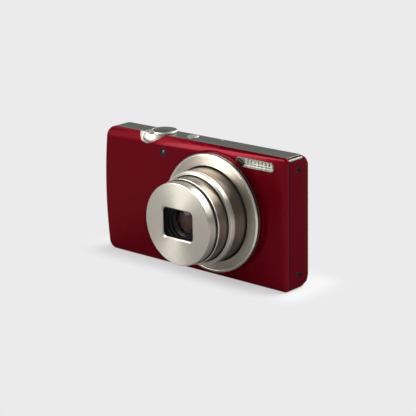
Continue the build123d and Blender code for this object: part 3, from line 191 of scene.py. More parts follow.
# Finishes. Each has two colours, a fine grain with its scale along x, y and z per metre, a broad cloud,
# a range of roughness, and a bump's strength and height. A turned finish runs round an axis: its grain is
# by radius, place along the axis and angle.
lensTurn = {"centre": (lensX, lensZ), "upright": False}
shutterTurn = {"centre": (-18.4, bodyFront + 5.5), "upright": True}
finishes = {
    "frontRed": {
        "colours": ((0.106, 0.0003, 0.0040), (0.152, 0.0006, 0.0072)),
        "grain": (5200, 5200, 5200), "broad": 38, "roughness": (0.24, 0.32), "bump": (0.05, 0.00002),
        "sockets": {"Metallic": 0.45, "Specular Tint": (0.6, 0.12, 0.18, 1), "Specular IOR Level": 0.0,
                    "Coat Weight": 0.12, "Coat Roughness": 0.10},
    },
    "rearRed": {
        "colours": ((0.085, 0.0015, 0.009), (0.115, 0.003, 0.014)),
        "grain": (4200, 4200, 4200), "broad": 30, "roughness": (0.34, 0.44), "bump": (0.10, 0.00002),
        "sockets": {"Metallic": 1.0, "Specular Tint": (0.5, 0.15, 0.2, 1), "Coat Weight": 0.06,
                    "Coat Roughness": 0.35},
    },
    "topGrey": {
        "colours": ((0.070, 0.072, 0.058), (0.140, 0.142, 0.118)),
        "grain": (160, 7000, 7000), "broad": 60, "roughness": (0.32, 0.45), "bump": (0.30, 0.00002),
        "sockets": {"Metallic": 0.85},
    },
    "brightTrim": {
        "colours": ((0.46, 0.43, 0.385), (0.60, 0.57, 0.52)),
        "grain": (3000, 3000, 3000), "broad": 60, "roughness": (0.30, 0.40), "bump": (0.10, 0.00001),
        "sockets": {"Metallic": 1.0},
    },
    "satinSilver": {
        "colours": ((0.36, 0.335, 0.30), (0.47, 0.44, 0.40)),
        "grain": (3500, 3500, 3500), "broad": 120, "roughness": (0.42, 0.52), "bump": (0.15, 0.00002),
        "sockets": {"Metallic": 1.0},
    },
    "rimMirror": {
        "turn": lensTurn, "colours": ((0.30, 0.28, 0.26), (0.38, 0.36, 0.33)),
        "grain": (1500, 1500, 2), "broad": 60, "roughness": (0.08, 0.14), "bump": (0.05, 0.00001),
        "sockets": {"Metallic": 1.0},
    },
    "seamAndShadeDark": {
        "colours": ((0.010, 0.001, 0.002), (0.020, 0.002, 0.004)),
        "grain": (3000, 3000, 3000), "broad": 60, "roughness": (0.6, 0.7), "bump": (0.05, 0.00001),
        "sockets": {"Specular IOR Level": 0.05},
    },
    "scoopSilver": {
        "colours": ((0.23, 0.22, 0.19), (0.33, 0.315, 0.28)),
        "grain": (3500, 3500, 3500), "broad": 120, "roughness": (0.34, 0.44), "bump": (0.15, 0.00002),
        "sockets": {"Metallic": 1.0},
    },
    "lipGrey": {
        "colours": ((0.10, 0.10, 0.085), (0.19, 0.19, 0.16)),
        "grain": (2600, 2600, 2600), "broad": 90, "roughness": (0.34, 0.44), "bump": (0.1, 0.00002),
        "sockets": {"Metallic": 1.0},
    },
    "flashCell": {
        "colours": ((0.010, 0.011, 0.008), (0.045, 0.05, 0.035)),
        "grain": (1200, 1200, 1200), "broad": 700, "roughness": (0.12, 0.2), "bump": (0.1, 0.00002),
        "sockets": {"Coat Weight": 0.7, "Coat Roughness": 0.05},
    },
    "flashRim": {
        "colours": ((0.07, 0.08, 0.045), (0.27, 0.28, 0.20)),
        "grain": (900, 900, 900), "broad": 260, "roughness": (0.15, 0.25), "bump": (0.2, 0.00003),
        "sockets": {"Metallic": 0.4, "Coat Weight": 0.6, "Coat Roughness": 0.05},
    },
    "flashRib": {
        "colours": ((0.24, 0.25, 0.17), (0.92, 0.91, 0.78)),
        "grain": (700, 500, 1500), "broad": 300, "roughness": (0.12, 0.25), "bump": (0.4, 0.00006),
        "sockets": {"Metallic": 0.35, "Coat Weight": 0.6, "Coat Roughness": 0.05},
    },
    "ringSilver": {
        "turn": lensTurn, "colours": ((0.54, 0.50, 0.43), (0.72, 0.68, 0.60)),
        "grain": (2600, 2600, 3), "broad": 60, "roughness": (0.20, 0.30), "bump": (0.35, 0.00003),
        "sockets": {"Metallic": 1.0, "Anisotropic": 0.5},
    },
    "trimSilver": {
        "turn": lensTurn, "colours": ((0.56, 0.52, 0.45), (0.74, 0.70, 0.62)),
        "grain": (2600, 2600, 3), "broad": 60, "roughness": (0.36, 0.46), "bump": (0.35, 0.00003),
        "sockets": {"Metallic": 1.0, "Anisotropic": 0.8},
    },
    "bezelSilver": {
        "turn": lensTurn, "colours": ((0.33, 0.29, 0.235), (0.58, 0.52, 0.435)),
        "grain": (1700, 1700, 2), "broad": 50, "roughness": (0.22, 0.36), "bump": (0.7, 0.00006),
        "sockets": {"Metallic": 1.0, "Anisotropic": 0.7},
    },
    "frontSilver": {
        "turn": lensTurn, "colours": ((0.42, 0.38, 0.32), (0.575, 0.535, 0.475)),
        "grain": (1900, 1900, 3), "broad": 50, "roughness": (0.35, 0.47), "bump": (0.5, 0.00004),
        "sockets": {"Metallic": 1.0, "Anisotropic": 0.62},
    },
    "barrelGrey": {
        "turn": lensTurn, "colours": ((0.15, 0.125, 0.098), (0.25, 0.215, 0.175)),
        "grain": (2400, 2400, 2), "broad": 50, "roughness": (0.28, 0.40), "bump": (0.35, 0.00003),
        "sockets": {"Metallic": 0.95, "Anisotropic": 0.5},
    },
    "buttonDark": {
        "turn": shutterTurn, "colours": ((0.085, 0.085, 0.083), (0.15, 0.15, 0.147)),
        "grain": (2600, 2600, 3), "broad": 80, "roughness": (0.26, 0.36), "bump": (0.3, 0.00002),
        "sockets": {"Metallic": 0.95, "Anisotropic": 0.5},
    },
    "blackPlastic": {
        "colours": ((0.005, 0.005, 0.005), (0.012, 0.012, 0.012)),
        "grain": (5000, 5000, 5000), "broad": 90, "roughness": (0.42, 0.58), "bump": (0.3, 0.00003),
        "sockets": {"Specular IOR Level": 0.14},
    },
    "lensBlack": {
        "turn": lensTurn, "colours": ((0.003, 0.003, 0.003), (0.009, 0.009, 0.009)),
        "grain": (3000, 3000, 2), "broad": 90, "roughness": (0.26, 0.4), "bump": (0.2, 0.00002),
        "sockets": {"Specular IOR Level": 0.2},
    },
    "coatedGlass": {
        "turn": lensTurn, "colours": ((0.72, 0.58, 0.56), (0.86, 0.74, 0.70)),
        "grain": (300, 300, 1), "broad": 60, "roughness": (0.01, 0.03), "bump": (0.0, 0.00001),
        "sockets": {"Transmission Weight": 1.0, "IOR": 1.2},
    },
    "innerGlass": {
        "turn": lensTurn, "colours": ((0.012, 0.008, 0.006), (0.064, 0.044, 0.036)),
        "grain": (520, 520, 0.6), "broad": 260, "roughness": (0.10, 0.2), "bump": (0.02, 0.00001),
        "sockets": {"Specular IOR Level": 0.3, "Coat Weight": 0.25, "Coat Roughness": 0.04},
    },
    "clearPlastic": {
        "colours": ((0.93, 0.95, 0.92), (0.98, 0.99, 0.97)),
        "grain": (900, 900, 900), "broad": 60, "roughness": (0.02, 0.06), "bump": (0.02, 0.00001),
        "sockets": {"Transmission Weight": 1.0, "IOR": 1.45},
    },
    "chrome": {
        "colours": ((0.72, 0.74, 0.70), (0.86, 0.87, 0.84)),
        "grain": (700, 700, 700), "broad": 90, "roughness": (0.10, 0.2), "bump": (0.05, 0.00002),
        "sockets": {"Metallic": 1.0},
    },
    "lampGlass": {
        "colours": ((0.004, 0.004, 0.005), (0.020, 0.021, 0.024)),
        "grain": (900, 900, 900), "broad": 400, "roughness": (0.16, 0.26), "bump": (0.02, 0.00001),
        "sockets": {"Coat Weight": 0.15, "Coat Roughness": 0.3, "Specular IOR Level": 0.3},
    },
    "keyGrey": {
        "colours": ((0.20, 0.19, 0.19), (0.27, 0.26, 0.26)),
        "grain": (3500, 3500, 3500), "broad": 70, "roughness": (0.28, 0.38), "bump": (0.12, 0.00002),
        "sockets": {"Metallic": 0.8, "Coat Weight": 0.2},
    },
    "screenGlass": {
        "colours": ((0.004, 0.004, 0.005), (0.008, 0.008, 0.010)),
        "grain": (900, 900, 900), "broad": 25, "roughness": (0.05, 0.09), "bump": (0.01, 0.00001),
        "sockets": {"Coat Weight": 1.0, "Coat Roughness": 0.03},
    },
    "displayDark": {
        "colours": ((0.013, 0.015, 0.018), (0.020, 0.022, 0.027)),
        "grain": (2500, 2500, 2500), "broad": 25, "roughness": (0.07, 0.12), "bump": (0.01, 0.00001),
        "sockets": {"Coat Weight": 1.0, "Coat Roughness": 0.03},
    },
    "steel": {
        "colours": ((0.42, 0.42, 0.42), (0.56, 0.56, 0.56)),
        "grain": (400, 400, 6000), "broad": 80, "roughness": (0.28, 0.42), "bump": (0.2, 0.00002),
        "sockets": {"Metallic": 1.0},
    },
    "screwBlack": {
        "colours": ((0.008, 0.006, 0.006), (0.022, 0.018, 0.018)),
        "grain": (3000, 3000, 3000), "broad": 300, "roughness": (0.3, 0.45), "bump": (0.3, 0.00002),
        "sockets": {"Metallic": 0.9},
    },
    "thumbRubber": {
        "colours": ((0.016, 0.015, 0.015), (0.032, 0.030, 0.030)),
        "grain": (2600, 2600, 2600), "broad": 90, "roughness": (0.6, 0.75), "bump": (0.5, 0.00006),
        "sockets": {"Specular IOR Level": 0.4},
    },
    "redDot": {
        "colours": ((0.45, 0.006, 0.008), (0.60, 0.012, 0.012)),
        "grain": (2600, 2600, 2600), "broad": 90, "roughness": (0.3, 0.4), "bump": (0.05, 0.00002),
        "sockets": {"Coat Weight": 0.4},
    },
    "greenLamp": {
        "colours": ((0.05, 0.16, 0.06), (0.09, 0.26, 0.10)),
        "grain": (900, 900, 900), "broad": 300, "roughness": (0.15, 0.25), "bump": (0.02, 0.00001),
        "sockets": {"Coat Weight": 1.0, "Coat Roughness": 0.05},
    },
    "boardGreen": {
        "colours": ((0.008, 0.09, 0.035), (0.02, 0.18, 0.07)),
        "grain": (600, 600, 600), "broad": 140, "roughness": (0.3, 0.45), "bump": (0.3, 0.00004),
        "sockets": {"Coat Weight": 0.3},
    },
    "gold": {
        "colours": ((0.62, 0.42, 0.13), (0.83, 0.62, 0.25)),
        "grain": (2500, 2500, 2500), "broad": 200, "roughness": (0.22, 0.34), "bump": (0.1, 0.00002),
        "sockets": {"Metallic": 1.0},
    },
    "batteryCase": {
        "colours": ((0.09, 0.09, 0.10), (0.14, 0.14, 0.15)),
        "grain": (3500, 3500, 3500), "broad": 60, "roughness": (0.45, 0.58), "bump": (0.3, 0.00004),
        "sockets": {"Specular IOR Level": 0.45},
    },
    "cardBlue": {
        "colours": ((0.02, 0.035, 0.10), (0.035, 0.055, 0.15)),
        "grain": (3500, 3500, 3500), "broad": 60, "roughness": (0.4, 0.5), "bump": (0.25, 0.00003),
        "sockets": {"Specular IOR Level": 0.45},
    },
}

# how the grain and the cloud are drawn and mixed, and which way a turned finish is brushed
pattern = {
    "grainDetail": 3.0, "grainRoughness": 0.6, "cloudDetail": 2.0, "grainShare": 0.6, "cloudShare": 0.4,
    "brushed": 0.25,
}


def turnedCoordinates(tree, coords, turn):
    link = tree.links.new
    across, along = turn["centre"]
    centre = (-across * mm, -along * mm, 0) if turn["upright"] else (-across * mm, 0, -along * mm)
    axis, side = ("Z", "Y") if turn["upright"] else ("Y", "Z")
    centred = addNode(tree, "ShaderNodeMapping", inputs={"Location": centre})
    split = addNode(tree, "ShaderNodeSeparateXYZ")
    flat = addNode(tree, "ShaderNodeCombineXYZ")
    radius = addNode(tree, "ShaderNodeVectorMath", operation="LENGTH")
    angle = addNode(tree, "ShaderNodeMath", operation="ARCTAN2")
    joined = addNode(tree, "ShaderNodeCombineXYZ")
    link(coords, centred.inputs["Vector"])
    link(centred.outputs[0], split.inputs[0])
    link(split.outputs["X"], flat.inputs["X"])
    link(split.outputs[side], flat.inputs["Y"])
    link(flat.outputs[0], radius.inputs[0])
    link(split.outputs[side], angle.inputs[0])
    link(split.outputs["X"], angle.inputs[1])
    link(radius.outputs["Value"], joined.inputs["X"])
    link(split.outputs[axis], joined.inputs["Y"])
    link(angle.outputs[0], joined.inputs["Z"])
    return joined.outputs[0], axis


def makeFinish(name, f):
    material = bpy.data.materials.new(name)
    material.use_nodes = True
    tree = material.node_tree
    link = tree.links.new
    shader = tree.nodes["Principled BSDF"]
    for socket, value in f["sockets"].items():
        shader.inputs[socket].default_value = value
    coords = place = addNode(tree, "ShaderNodeTexCoord").outputs["Object"]
    if "turn" in f:
        place, axis = turnedCoordinates(tree, coords, f["turn"])
        shader.inputs["Anisotropic Rotation"].default_value = pattern["brushed"]
        tangent = addNode(tree, "ShaderNodeTangent", direction_type="RADIAL", axis=axis)
        link(tangent.outputs[0], shader.inputs["Tangent"])
    stretched = addNode(tree, "ShaderNodeMapping", inputs={"Scale": f["grain"]})
    grain = addNode(tree, "ShaderNodeTexNoise", inputs={"Scale": 1.0, "Detail": pattern["grainDetail"],
                                                        "Roughness": pattern["grainRoughness"]})
    cloud = addNode(tree, "ShaderNodeTexNoise", inputs={"Scale": f["broad"],
                                                        "Detail": pattern["cloudDetail"]})
    amount = addNode(tree, "ShaderNodeMath", operation="MULTIPLY_ADD", inputs={1: pattern["grainShare"]})
    share = addNode(tree, "ShaderNodeMath", operation="MULTIPLY", inputs={1: pattern["cloudShare"]})
    # the mix has its two colours in sockets 6 and 7, and its result in output 2
    dark, light = ((*c, 1) for c in f["colours"])
    colour = addNode(tree, "ShaderNodeMix", data_type="RGBA", inputs={6: dark, 7: light})
    rough = addNode(tree, "ShaderNodeMapRange",
                    inputs={"To Min": f["roughness"][0], "To Max": f["roughness"][1]})
    bump = addNode(tree, "ShaderNodeBump", inputs={"Strength": f["bump"][0], "Distance": f["bump"][1]})
    link(place, stretched.inputs["Vector"])
    link(stretched.outputs[0], grain.inputs["Vector"])
    link(coords, cloud.inputs["Vector"])
    link(cloud.outputs[0], share.inputs[0])
    link(grain.outputs[0], amount.inputs[0])
    link(share.outputs[0], amount.inputs[2])
    link(amount.outputs[0], colour.inputs[0])
    link(colour.outputs[2], shader.inputs["Base Color"])
    link(amount.outputs[0], rough.inputs["Value"])
    link(rough.outputs["Result"], shader.inputs["Roughness"])
    link(grain.outputs[0], bump.inputs["Height"])
    link(bump.outputs[0], shader.inputs["Normal"])
    return material


paint = {name: makeFinish(name, values) for name, values in finishes.items()}
print("finishes done")

# every CAD node that stays in sight gets one of the finishes
nodePaint = {
    "frontRed": ("bezel_base_ring",),
    "steel": ("tripod_socket", "battery_door_pin", "battery_latch", "card_socket", "usb_socket", "focus_rods",
              "zoom_motor"),
    "chrome": ("flash_reflector",),
    "clearPlastic": ("flash_tube", "af_led"),
    "coatedGlass": ("rear_lens", "focus_lens"),
    "innerGlass": ("image_sensor",),
    "lensBlack": ("lens_housing", "shutter_unit", "barrier_blade_upper", "barrier_blade_lower"),
    "boardGreen": ("main_board", "sensor_board", "top_board"),
    "gold": ("battery_contacts",),
    "batteryCase": ("flash_capacitor", "battery_holder"),
    "greenLamp": ("indicator_lamp",),
}
nodeFinish = {node: name for name, nodes in nodePaint.items() for node in nodes}
for node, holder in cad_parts.items():
    holder.data.materials.clear()
    holder.data.materials.append(paint[nodeFinish.get(node, "blackPlastic")])

# points nearer than the gaps, in millimetres, become one, and faces flatter than the angle, in degrees
meshLimits = {"drawnGap": 0.001, "copiedGap": 0.002, "flatAngle": 0.4}


def clearSelection():
    if bpy.context.object and bpy.context.object.mode != "OBJECT":
        bpy.ops.object.mode_set(mode="OBJECT")
    bpy.ops.object.select_all(action="DESELECT")


def selectOnly(piece):
    clearSelection()
    piece.select_set(True)
    bpy.context.view_layer.objects.active = piece


def editAll():
    bpy.ops.object.mode_set(mode="EDIT")
    bpy.ops.mesh.select_all(action="SELECT")


def startPiece(kind, **options):
    clearSelection()
    getattr(bpy.ops.mesh, "primitive_" + kind + "_add")(**options)
    bpy.ops.object.transform_apply(location=True, rotation=True, scale=True)
    return bpy.context.object


def pick(piece, kind, test):
    # selects faces by centre and normal, or edges by their two ends, given as x, depth and z in millimetres,
    # and leaves the piece in edit mode
    selectOnly(piece)
    bpy.ops.object.mode_set(mode="EDIT")
    bpy.ops.mesh.select_mode(type=kind)
    bpy.ops.mesh.select_all(action="DESELECT")
    bpy.ops.object.mode_set(mode="OBJECT")
    shift = Vector((0, bodyFront, 0))
    if kind == "FACE":
        for face in piece.data.polygons:
            face.select = test(face.center / mm - shift, face.normal)
    else:
        ends = [v.co / mm - shift for v in piece.data.vertices]
        for edge in piece.data.edges:
            edge.select = test(ends[edge.vertices[0]], ends[edge.vertices[1]])
    bpy.ops.object.mode_set(mode="EDIT")


def copyNode(node, kept=lambda place, normal: False):
    # a copy of a CAD node's loose triangles, merged so that it can be bevelled and shaded smooth; flat faces
    # become one each, save those that the kept test picks
    piece = bpy.data.objects.new(node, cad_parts[node].data.copy())
    bpy.context.scene.collection.objects.link(piece)
    selectOnly(piece)
    if piece.data.has_custom_normals:
        bpy.ops.mesh.customdata_custom_splitnormals_clear()
    editAll()
    bpy.ops.mesh.remove_doubles(threshold=meshLimits["copiedGap"] * mm)
    pick(piece, "FACE", lambda place, normal: not kept(place, normal))
    bpy.ops.mesh.dissolve_limited(angle_limit=math.radians(meshLimits["flatAngle"]))
    bpy.ops.object.mode_set(mode="OBJECT")
    return piece


def giveFinish(piece, finish):
    piece.data.materials.append(paint[finish])
    return piece


def paintFaces(piece, finish, test):
    pick(giveFinish(piece, finish), "FACE", test)
    piece.active_material_index = len(piece.data.materials) - 1
    bpy.ops.object.material_slot_assign()
    bpy.ops.object.mode_set(mode="OBJECT")


def applyModifier(piece, kind, **settings):
    bpy.context.view_layer.objects.active = piece
    modifier = piece.modifiers.new(kind, kind)
    for key, value in settings.items():
        setattr(modifier, key, value)
    bpy.ops.object.modifier_apply(modifier=modifier.name)


def roundEdges(piece, width, segments=3, angle=30):
    applyModifier(piece, "BEVEL", width=width * mm, segments=segments, limit_method="ANGLE",
                  angle_limit=math.radians(angle), harden_normals=False)


def reshape(scale, centre=(0, 0, 0), shift=(0, 0, 0)):
    # scales the active piece's mesh about a centre, then moves it
    editAll()
    bpy.ops.transform.resize(value=scale, center_override=centre)
    bpy.ops.transform.translate(value=shift)
    bpy.ops.object.mode_set(mode="OBJECT")


def drawOutline(corners, closed):
    # edges from corner to corner, left in edit mode and all selected
    piece = startPiece("plane", size=mm)
    bpy.ops.object.mode_set(mode="EDIT")
    bpy.ops.mesh.select_mode(type="VERT")
    bpy.ops.mesh.select_all(action="SELECT")
    bpy.ops.mesh.merge(type="CENTER")
    bpy.ops.transform.translate(value=corners[0])
    closing = corners[:1] if closed else []
    for before, after in zip(corners, corners[1:] + closing):
        bpy.ops.mesh.extrude_region_move(TRANSFORM_OT_translate={"value": after - before})
    bpy.ops.mesh.select_all(action="SELECT")
    bpy.ops.mesh.remove_doubles(threshold=meshLimits["drawnGap"] * mm)
    return piece


def pushOutline(corners, along):
    # a closed outline filled and pushed along a vector
    piece = drawOutline(corners, True)
    bpy.ops.mesh.edge_face_add()
    bpy.ops.mesh.extrude_region_move(TRANSFORM_OT_translate={"value": along})
    bpy.ops.mesh.select_all(action="SELECT")
    bpy.ops.mesh.normals_make_consistent(inside=False)
    bpy.ops.object.mode_set(mode="OBJECT")
    return piece


def turnProfile(points, centre=(lensX, lensZ), upright=False, steps=160):
    # spins an outline of (radius, depth) round a front-to-back axis, or (radius, height) round an upright
    # one; it closes on itself unless it starts and ends on the axis
    def corner(radius, along):
        if upright:
            return Vector((centre[0] + radius, centre[1], along)) * mm
        return spot(centre[0] + radius, along, centre[1])

    closed = not points[0][0] == points[-1][0] == 0
    piece = drawOutline([corner(*p) for p in points], closed)
    axis = (0, 0, 1) if upright else (0, 1, 0)
    bpy.ops.mesh.spin(steps=steps, angle=2 * math.pi, center=corner(0, points[0][1]), axis=axis)
    bpy.ops.mesh.select_all(action="SELECT")
    bpy.ops.mesh.remove_doubles(threshold=meshLimits["drawnGap"] * mm)
    bpy.ops.mesh.normals_make_consistent(inside=False)
    bpy.ops.object.mode_set(mode="OBJECT")
    return piece


def domeOutline(radius, rim, dome, back, count=10):
    # the half section of a domed disc: its rim's depth, how far the middle stands out, and its flat back
    curve = tuple((radius * i / count, rim - dome * (1 - (i / count) ** 2)) for i in range(count + 1))
    return curve + ((radius, back), (0, back))


def roundedPlate(low, high, corner, segments=8):
    # a block between two corners (x, depth, z) whose upright edges, seen from the front, are rounded
    piece = startPiece("cube", size=1)
    size = Vector(high) - Vector(low)
    reshape(size * mm, shift=spot(*((Vector(low) + Vector(high)) / 2)))
    if corner:
        pick(piece, "EDGE", lambda a, b: abs(a.y - b.y) > size.y / 2)
        bpy.ops.mesh.bevel(offset=corner * mm, segments=segments, affect="EDGES")
        bpy.ops.object.mode_set(mode="OBJECT")
    return piece


def trimBy(piece, place, outward):
    # cuts off what lies beyond a plane and closes the cut
    selectOnly(piece)
    editAll()
    bpy.ops.mesh.bisect(plane_co=place, plane_no=outward, clear_outer=True, use_fill=True)
    bpy.ops.object.mode_set(mode="OBJECT")


def cutAway(piece, cutter):
    applyModifier(piece, "BOOLEAN", operation="DIFFERENCE", solver="EXACT", object=cutter)
    bpy.data.objects.remove(cutter)


def joinPieces(pieces):
    clearSelection()
    for piece in pieces:
        piece.select_set(True)
    bpy.context.view_layer.objects.active = pieces[0]
    bpy.ops.object.join()
    return bpy.context.object


def finishPiece(piece, name, body, finish, nodes=(), smooth=32, weighing="FACE_AREA"):
    selectOnly(piece)
    bpy.ops.object.shade_smooth_by_angle(angle=math.radians(smooth))
    applyModifier(piece, "WEIGHTED_NORMAL", keep_sharp=True, mode=weighing)
    piece.name = piece.data.name = name
    if finish:
        piece.data.materials.clear()
        giveFinish(piece, finish)
    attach(piece, body)
    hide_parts(*nodes)
    return piece


# lens: bezel, two barrels with their bright lips, front barrel with its opening, stepped ring and glass
lensSteps = 200
bezelShape = {
    "profile": ((23.2, -0.4), (23.2, -2.05), (23.05, -2.1), (23.05, -2.95), (23.3, -3.0), (23.4, -3.15),
                (23.37, -3.4), (23.2, -3.66), (22.95, -3.84), (22.65, -3.92), (22.45, -3.9), (22.35, -3.86),
                (22.2, -3.93), (18.9, -4.2), (18.75, -4.05), (18.75, -3.0), (22.4, -3.0), (22.4, -0.4)),
    "edge": 0.05,
    "lip": {"back": -2.98, "inner": 22.4},
    "seat": {"front": -2.06, "inner": 22.8},
}


def buildBezel(f):
    lip, seat = f["lip"], f["seat"]
    bezel = turnProfile(f["profile"], steps=lensSteps)
    roundEdges(bezel, f["edge"], segments=2, angle=40)
    finishPiece(bezel, "bezelRing", "camera_body", "bezelSilver", ["lens_bezel"])

    def beyond(place, radius):
        return math.hypot(place.x - lensX, place.z - lensZ) > radius

    paintFaces(bezel, "ringSilver", lambda place, normal: place.y < lip["back"]
               and beyond(place, lip["inner"]))
    paintFaces(bezel, "rimMirror", lambda place, normal: place.y > seat["front"]
               and beyond(place, seat["inner"]))
    # the groove under the rim is painted black: partly the groove's own dark, partly painted shade for the
    # shadow gap under the rim's overhang
    paintFaces(bezel, "lensBlack", lambda place, normal: lip["back"] < place.y < seat["front"]
               and beyond(place, seat["inner"]))


buildBezel(bezelShape)

barrelShapes = {
    "firstBarrel": {
        "profile": ((17.2, -10.45), (18.1, -10.45), (18.1, -10.2), (18.2, -10.1), (18.2, 2.4), (17.2, 2.4)),
        "edge": 0.05, "finish": "barrelGrey", "slot": "barrel_grey", "body": "zoom_stage_1",
        "nodes": ["zoom_barrel_1"],
    },
    "firstBarrelLip": {
        "profile": ((16.9, -10.5), (18.2, -10.5), (18.2, -12.3), (18.12, -12.5), (17.95, -12.6),
                    (17.5, -12.6), (17.42, -12.5), (17.3, -12.5), (17.22, -12.6), (17.05, -12.6),
                    (16.9, -12.45)),
        "edge": 0.08, "finish": "trimSilver", "slot": "bright_trim", "body": "zoom_stage_1",
        "nodes": ["barrel_1_trim"],
    },
    "secondBarrel": {
        "profile": ((16.2, -17.8), (16.28, -17.9), (16.48, -17.9), (16.6, -17.75), (16.6, -17.3),
                    (16.5, -17.2), (16.5, -5.0), (16.4, -4.9), (15.65, -4.9), (15.65, -13.9), (16.2, -13.9)),
        "edge": 0.05, "finish": "barrelGrey", "slot": "barrel_grey", "body": "zoom_stage_2",
        "nodes": ["zoom_barrel_2"],
        "lipBack": -17.22,
    },
}
for name, b in barrelShapes.items():
    barrel = turnProfile(b["profile"], steps=lensSteps)
    roundEdges(barrel, b["edge"], segments=2, angle=25)
    finishPiece(barrel, name, b["body"], b["finish"], b["nodes"])
    # the second barrel's front lip is bright
    if "lipBack" in b:
        paintFaces(barrel, "ringSilver", lambda place, normal: place.y < b["lipBack"])

frontBarrelShape = {
    "profile": ((0, -22.5), (15.62, -22.5), (15.8, -22.46), (15.93, -22.34), (16.0, -22.1), (16.0, -18.85),
                (15.85, -18.7), (15.4, -18.7), (15.4, -11.5), (14.4, -11.5), (14.4, -21.7), (0, -21.7)),
    "openingSize": (15.0, 11.4),
    "openingCorner": 1.8,
    "cutDepths": (-1.0, 1.5),
    "chamfer": 0.45,
    "front": -22.5,
}


def cutOpening(piece, f):
    wide, high = (v / 2 for v in f["openingSize"])
    front, chamfer = f["front"], f["chamfer"]

    def block(before, behind):
        return roundedPlate((lensX - wide, front + before, lensZ - high),
                            (lensX + wide, front + behind, lensZ + high), f["openingCorner"])

    cutAway(piece, block(*f["cutDepths"]))
    funnel = block(-chamfer, chamfer)
    pick(funnel, "FACE", lambda place, normal: place.y < front - chamfer / 2)
    bpy.ops.transform.resize(value=(1 + 2 * chamfer / wide, 1, 1 + 2 * chamfer / high),
                             center_override=spot(lensX, front - chamfer, lensZ))
    bpy.ops.object.mode_set(mode="OBJECT")
    cutAway(piece, funnel)


frontBarrel = turnProfile(frontBarrelShape["profile"], steps=lensSteps)
cutOpening(frontBarrel, frontBarrelShape)
finishPiece(frontBarrel, "frontBarrelCap", "zoom_stage_3", "frontSilver", ["front_barrel"])

lensRingShape = {
    "profile": ((14.35, -21.0), (8.7, -21.0),
                # three steps, each with a rib
                (8.5, -20.9), (8.3, -20.3), (7.75, -20.3), (7.65, -20.45), (7.55, -20.3), (7.2, -20.25),
                (7.05, -19.4), (6.7, -19.4), (6.6, -19.55), (6.5, -19.4), (6.15, -19.35), (6.0, -18.5),
                (5.75, -18.5), (5.65, -18.6), (5.55, -18.5), (5.3, -18.3), (5.0, -17.85),
                (5.0, -15.6), (6.0, -15.6), (6.2, -17.0), (9.0, -19.7), (14.35, -19.7)),
    "pinProfile": ((0, -21.7), (0.4, -21.7), (0.4, -20.8), (0, -20.8)),
    "pinCentres": ((26.45, 25.05), (0.15, 27.35)),
}
lensRing = turnProfile(lensRingShape["profile"])
pins = [turnProfile(lensRingShape["pinProfile"], centre, steps=24) for centre in lensRingShape["pinCentres"]]
finishPiece(joinPieces([lensRing] + pins), "steppedLensRing", "zoom_stage_3", "lensBlack",
            ["front_lens_ring"])

# each glass has its radius, the depth of its rim, the rise of its dome and the depth of its back
glassShapes = {"coatedGlass": (5.0, -17.75, 0.85, -17.2), "innerGlass": (4.3, -16.3, 0.7, -15.7)}
glasses = [giveFinish(turnProfile(domeOutline(*dome), steps=96), finish)
           for finish, dome in glassShapes.items()]
finishPiece(joinPieces(glasses), "frontLensGlass", "zoom_stage_3", None, ["front_lens"])
print("lens done")

# body skins: the covers' own shapes, merged, the front one cut for the scoop and the crease. Each has a band
# along the shells' seam, dark on the covers; on the top plate's front edge the band is a painted highlight, a
# bright strip standing in for the light that edge catches. A rim's faces look backwards (1) or forwards (-1)
# and aren't merged.
skinShapes = {
    "front_cover": {
        "name": "frontSkin", "finish": "frontRed", "slot": "front_red", "weighing": "CORNER_ANGLE",
        "rimFacing": 1, "band": (1.55, 1.8), "cut": 1.55, "bandFinish": "seamAndShadeDark",
    },
    "rear_cover": {
        "name": "rearSkin", "finish": "rearRed", "slot": "rear_red", "weighing": "FACE_AREA",
        "rimFacing": -1, "band": (1.9, 2.15), "cut": 2.15, "bandFinish": "seamAndShadeDark",
    },
    # the top plate's band is a painted highlight along its front edge
    "top_cover": {
        "name": "topPlateSkin", "finish": "topGrey", "slot": "top_grey", "weighing": "FACE_AREA",
        "rimFacing": 0, "band": (1.9, 2.15), "cut": 2.15, "bandFinish": "satinSilver",
    },
}
skinLimits = {"rim": 0.99, "smooth": 28, "bandFacing": 0.5, "bandBase": 1.5, "bandTop": 50, "bandEnds": 45.3}
scoopShape = {
    "outline": ((-27.9, 53.0), (-27.7, 51.8), (-27.2, 50.6), (-26.4, 49.5), (-25.4, 48.6), (-24.2, 48.05),
                (-22.8, 47.85), (-21.4, 48.1), (-20.0, 48.65), (-18.2, 49.5), (-16.4, 50.5), (-14.6, 51.6),
                (-13.4, 52.4), (-13.0, 53.0)),
    "depths": (-0.4, 3.1), "dish": (-20.2, -0.6, 53.3), "dishRadii": (7.75, 3.35, 5.4),
    "bevelPoints": ((-28, 0, 48.92), (-13, 0, 49.43), (-20.5, 1.6, 52.0)),
    "front": 0.02, "top": 51.97, "smooth": 45,
}
crease = {
    "left": (-47.6, 48.25), "right": (47.6, 51.5), "slope": 29.5, "reach": 2.8, "steps": 10, "spare": 12.0,
}


def scoopBlock(f):
    front, back = f["depths"]
    return pushOutline([spot(x, front, z) for x, z in f["outline"]], (0, (back - front) * mm, 0))


def buildScoop(f):
    cup = scoopBlock(f)
    hollow = startPiece("uv_sphere", segments=96, ring_count=64, radius=1)
    reshape(Vector(f["dishRadii"]) * mm, shift=spot(*f["dish"]))
    cutAway(cup, hollow)
    first, second, third = (spot(*p) for p in f["bevelPoints"])
    slope = (second - first).cross(third - first).normalized()
    trimBy(cup, third, slope if slope.z > 0 else -slope)
    trimBy(cup, spot(0, f["front"], 0), (0, -1, 0))
    trimBy(cup, spot(0, 0, f["top"]), (0, 0, 1))
    return cup


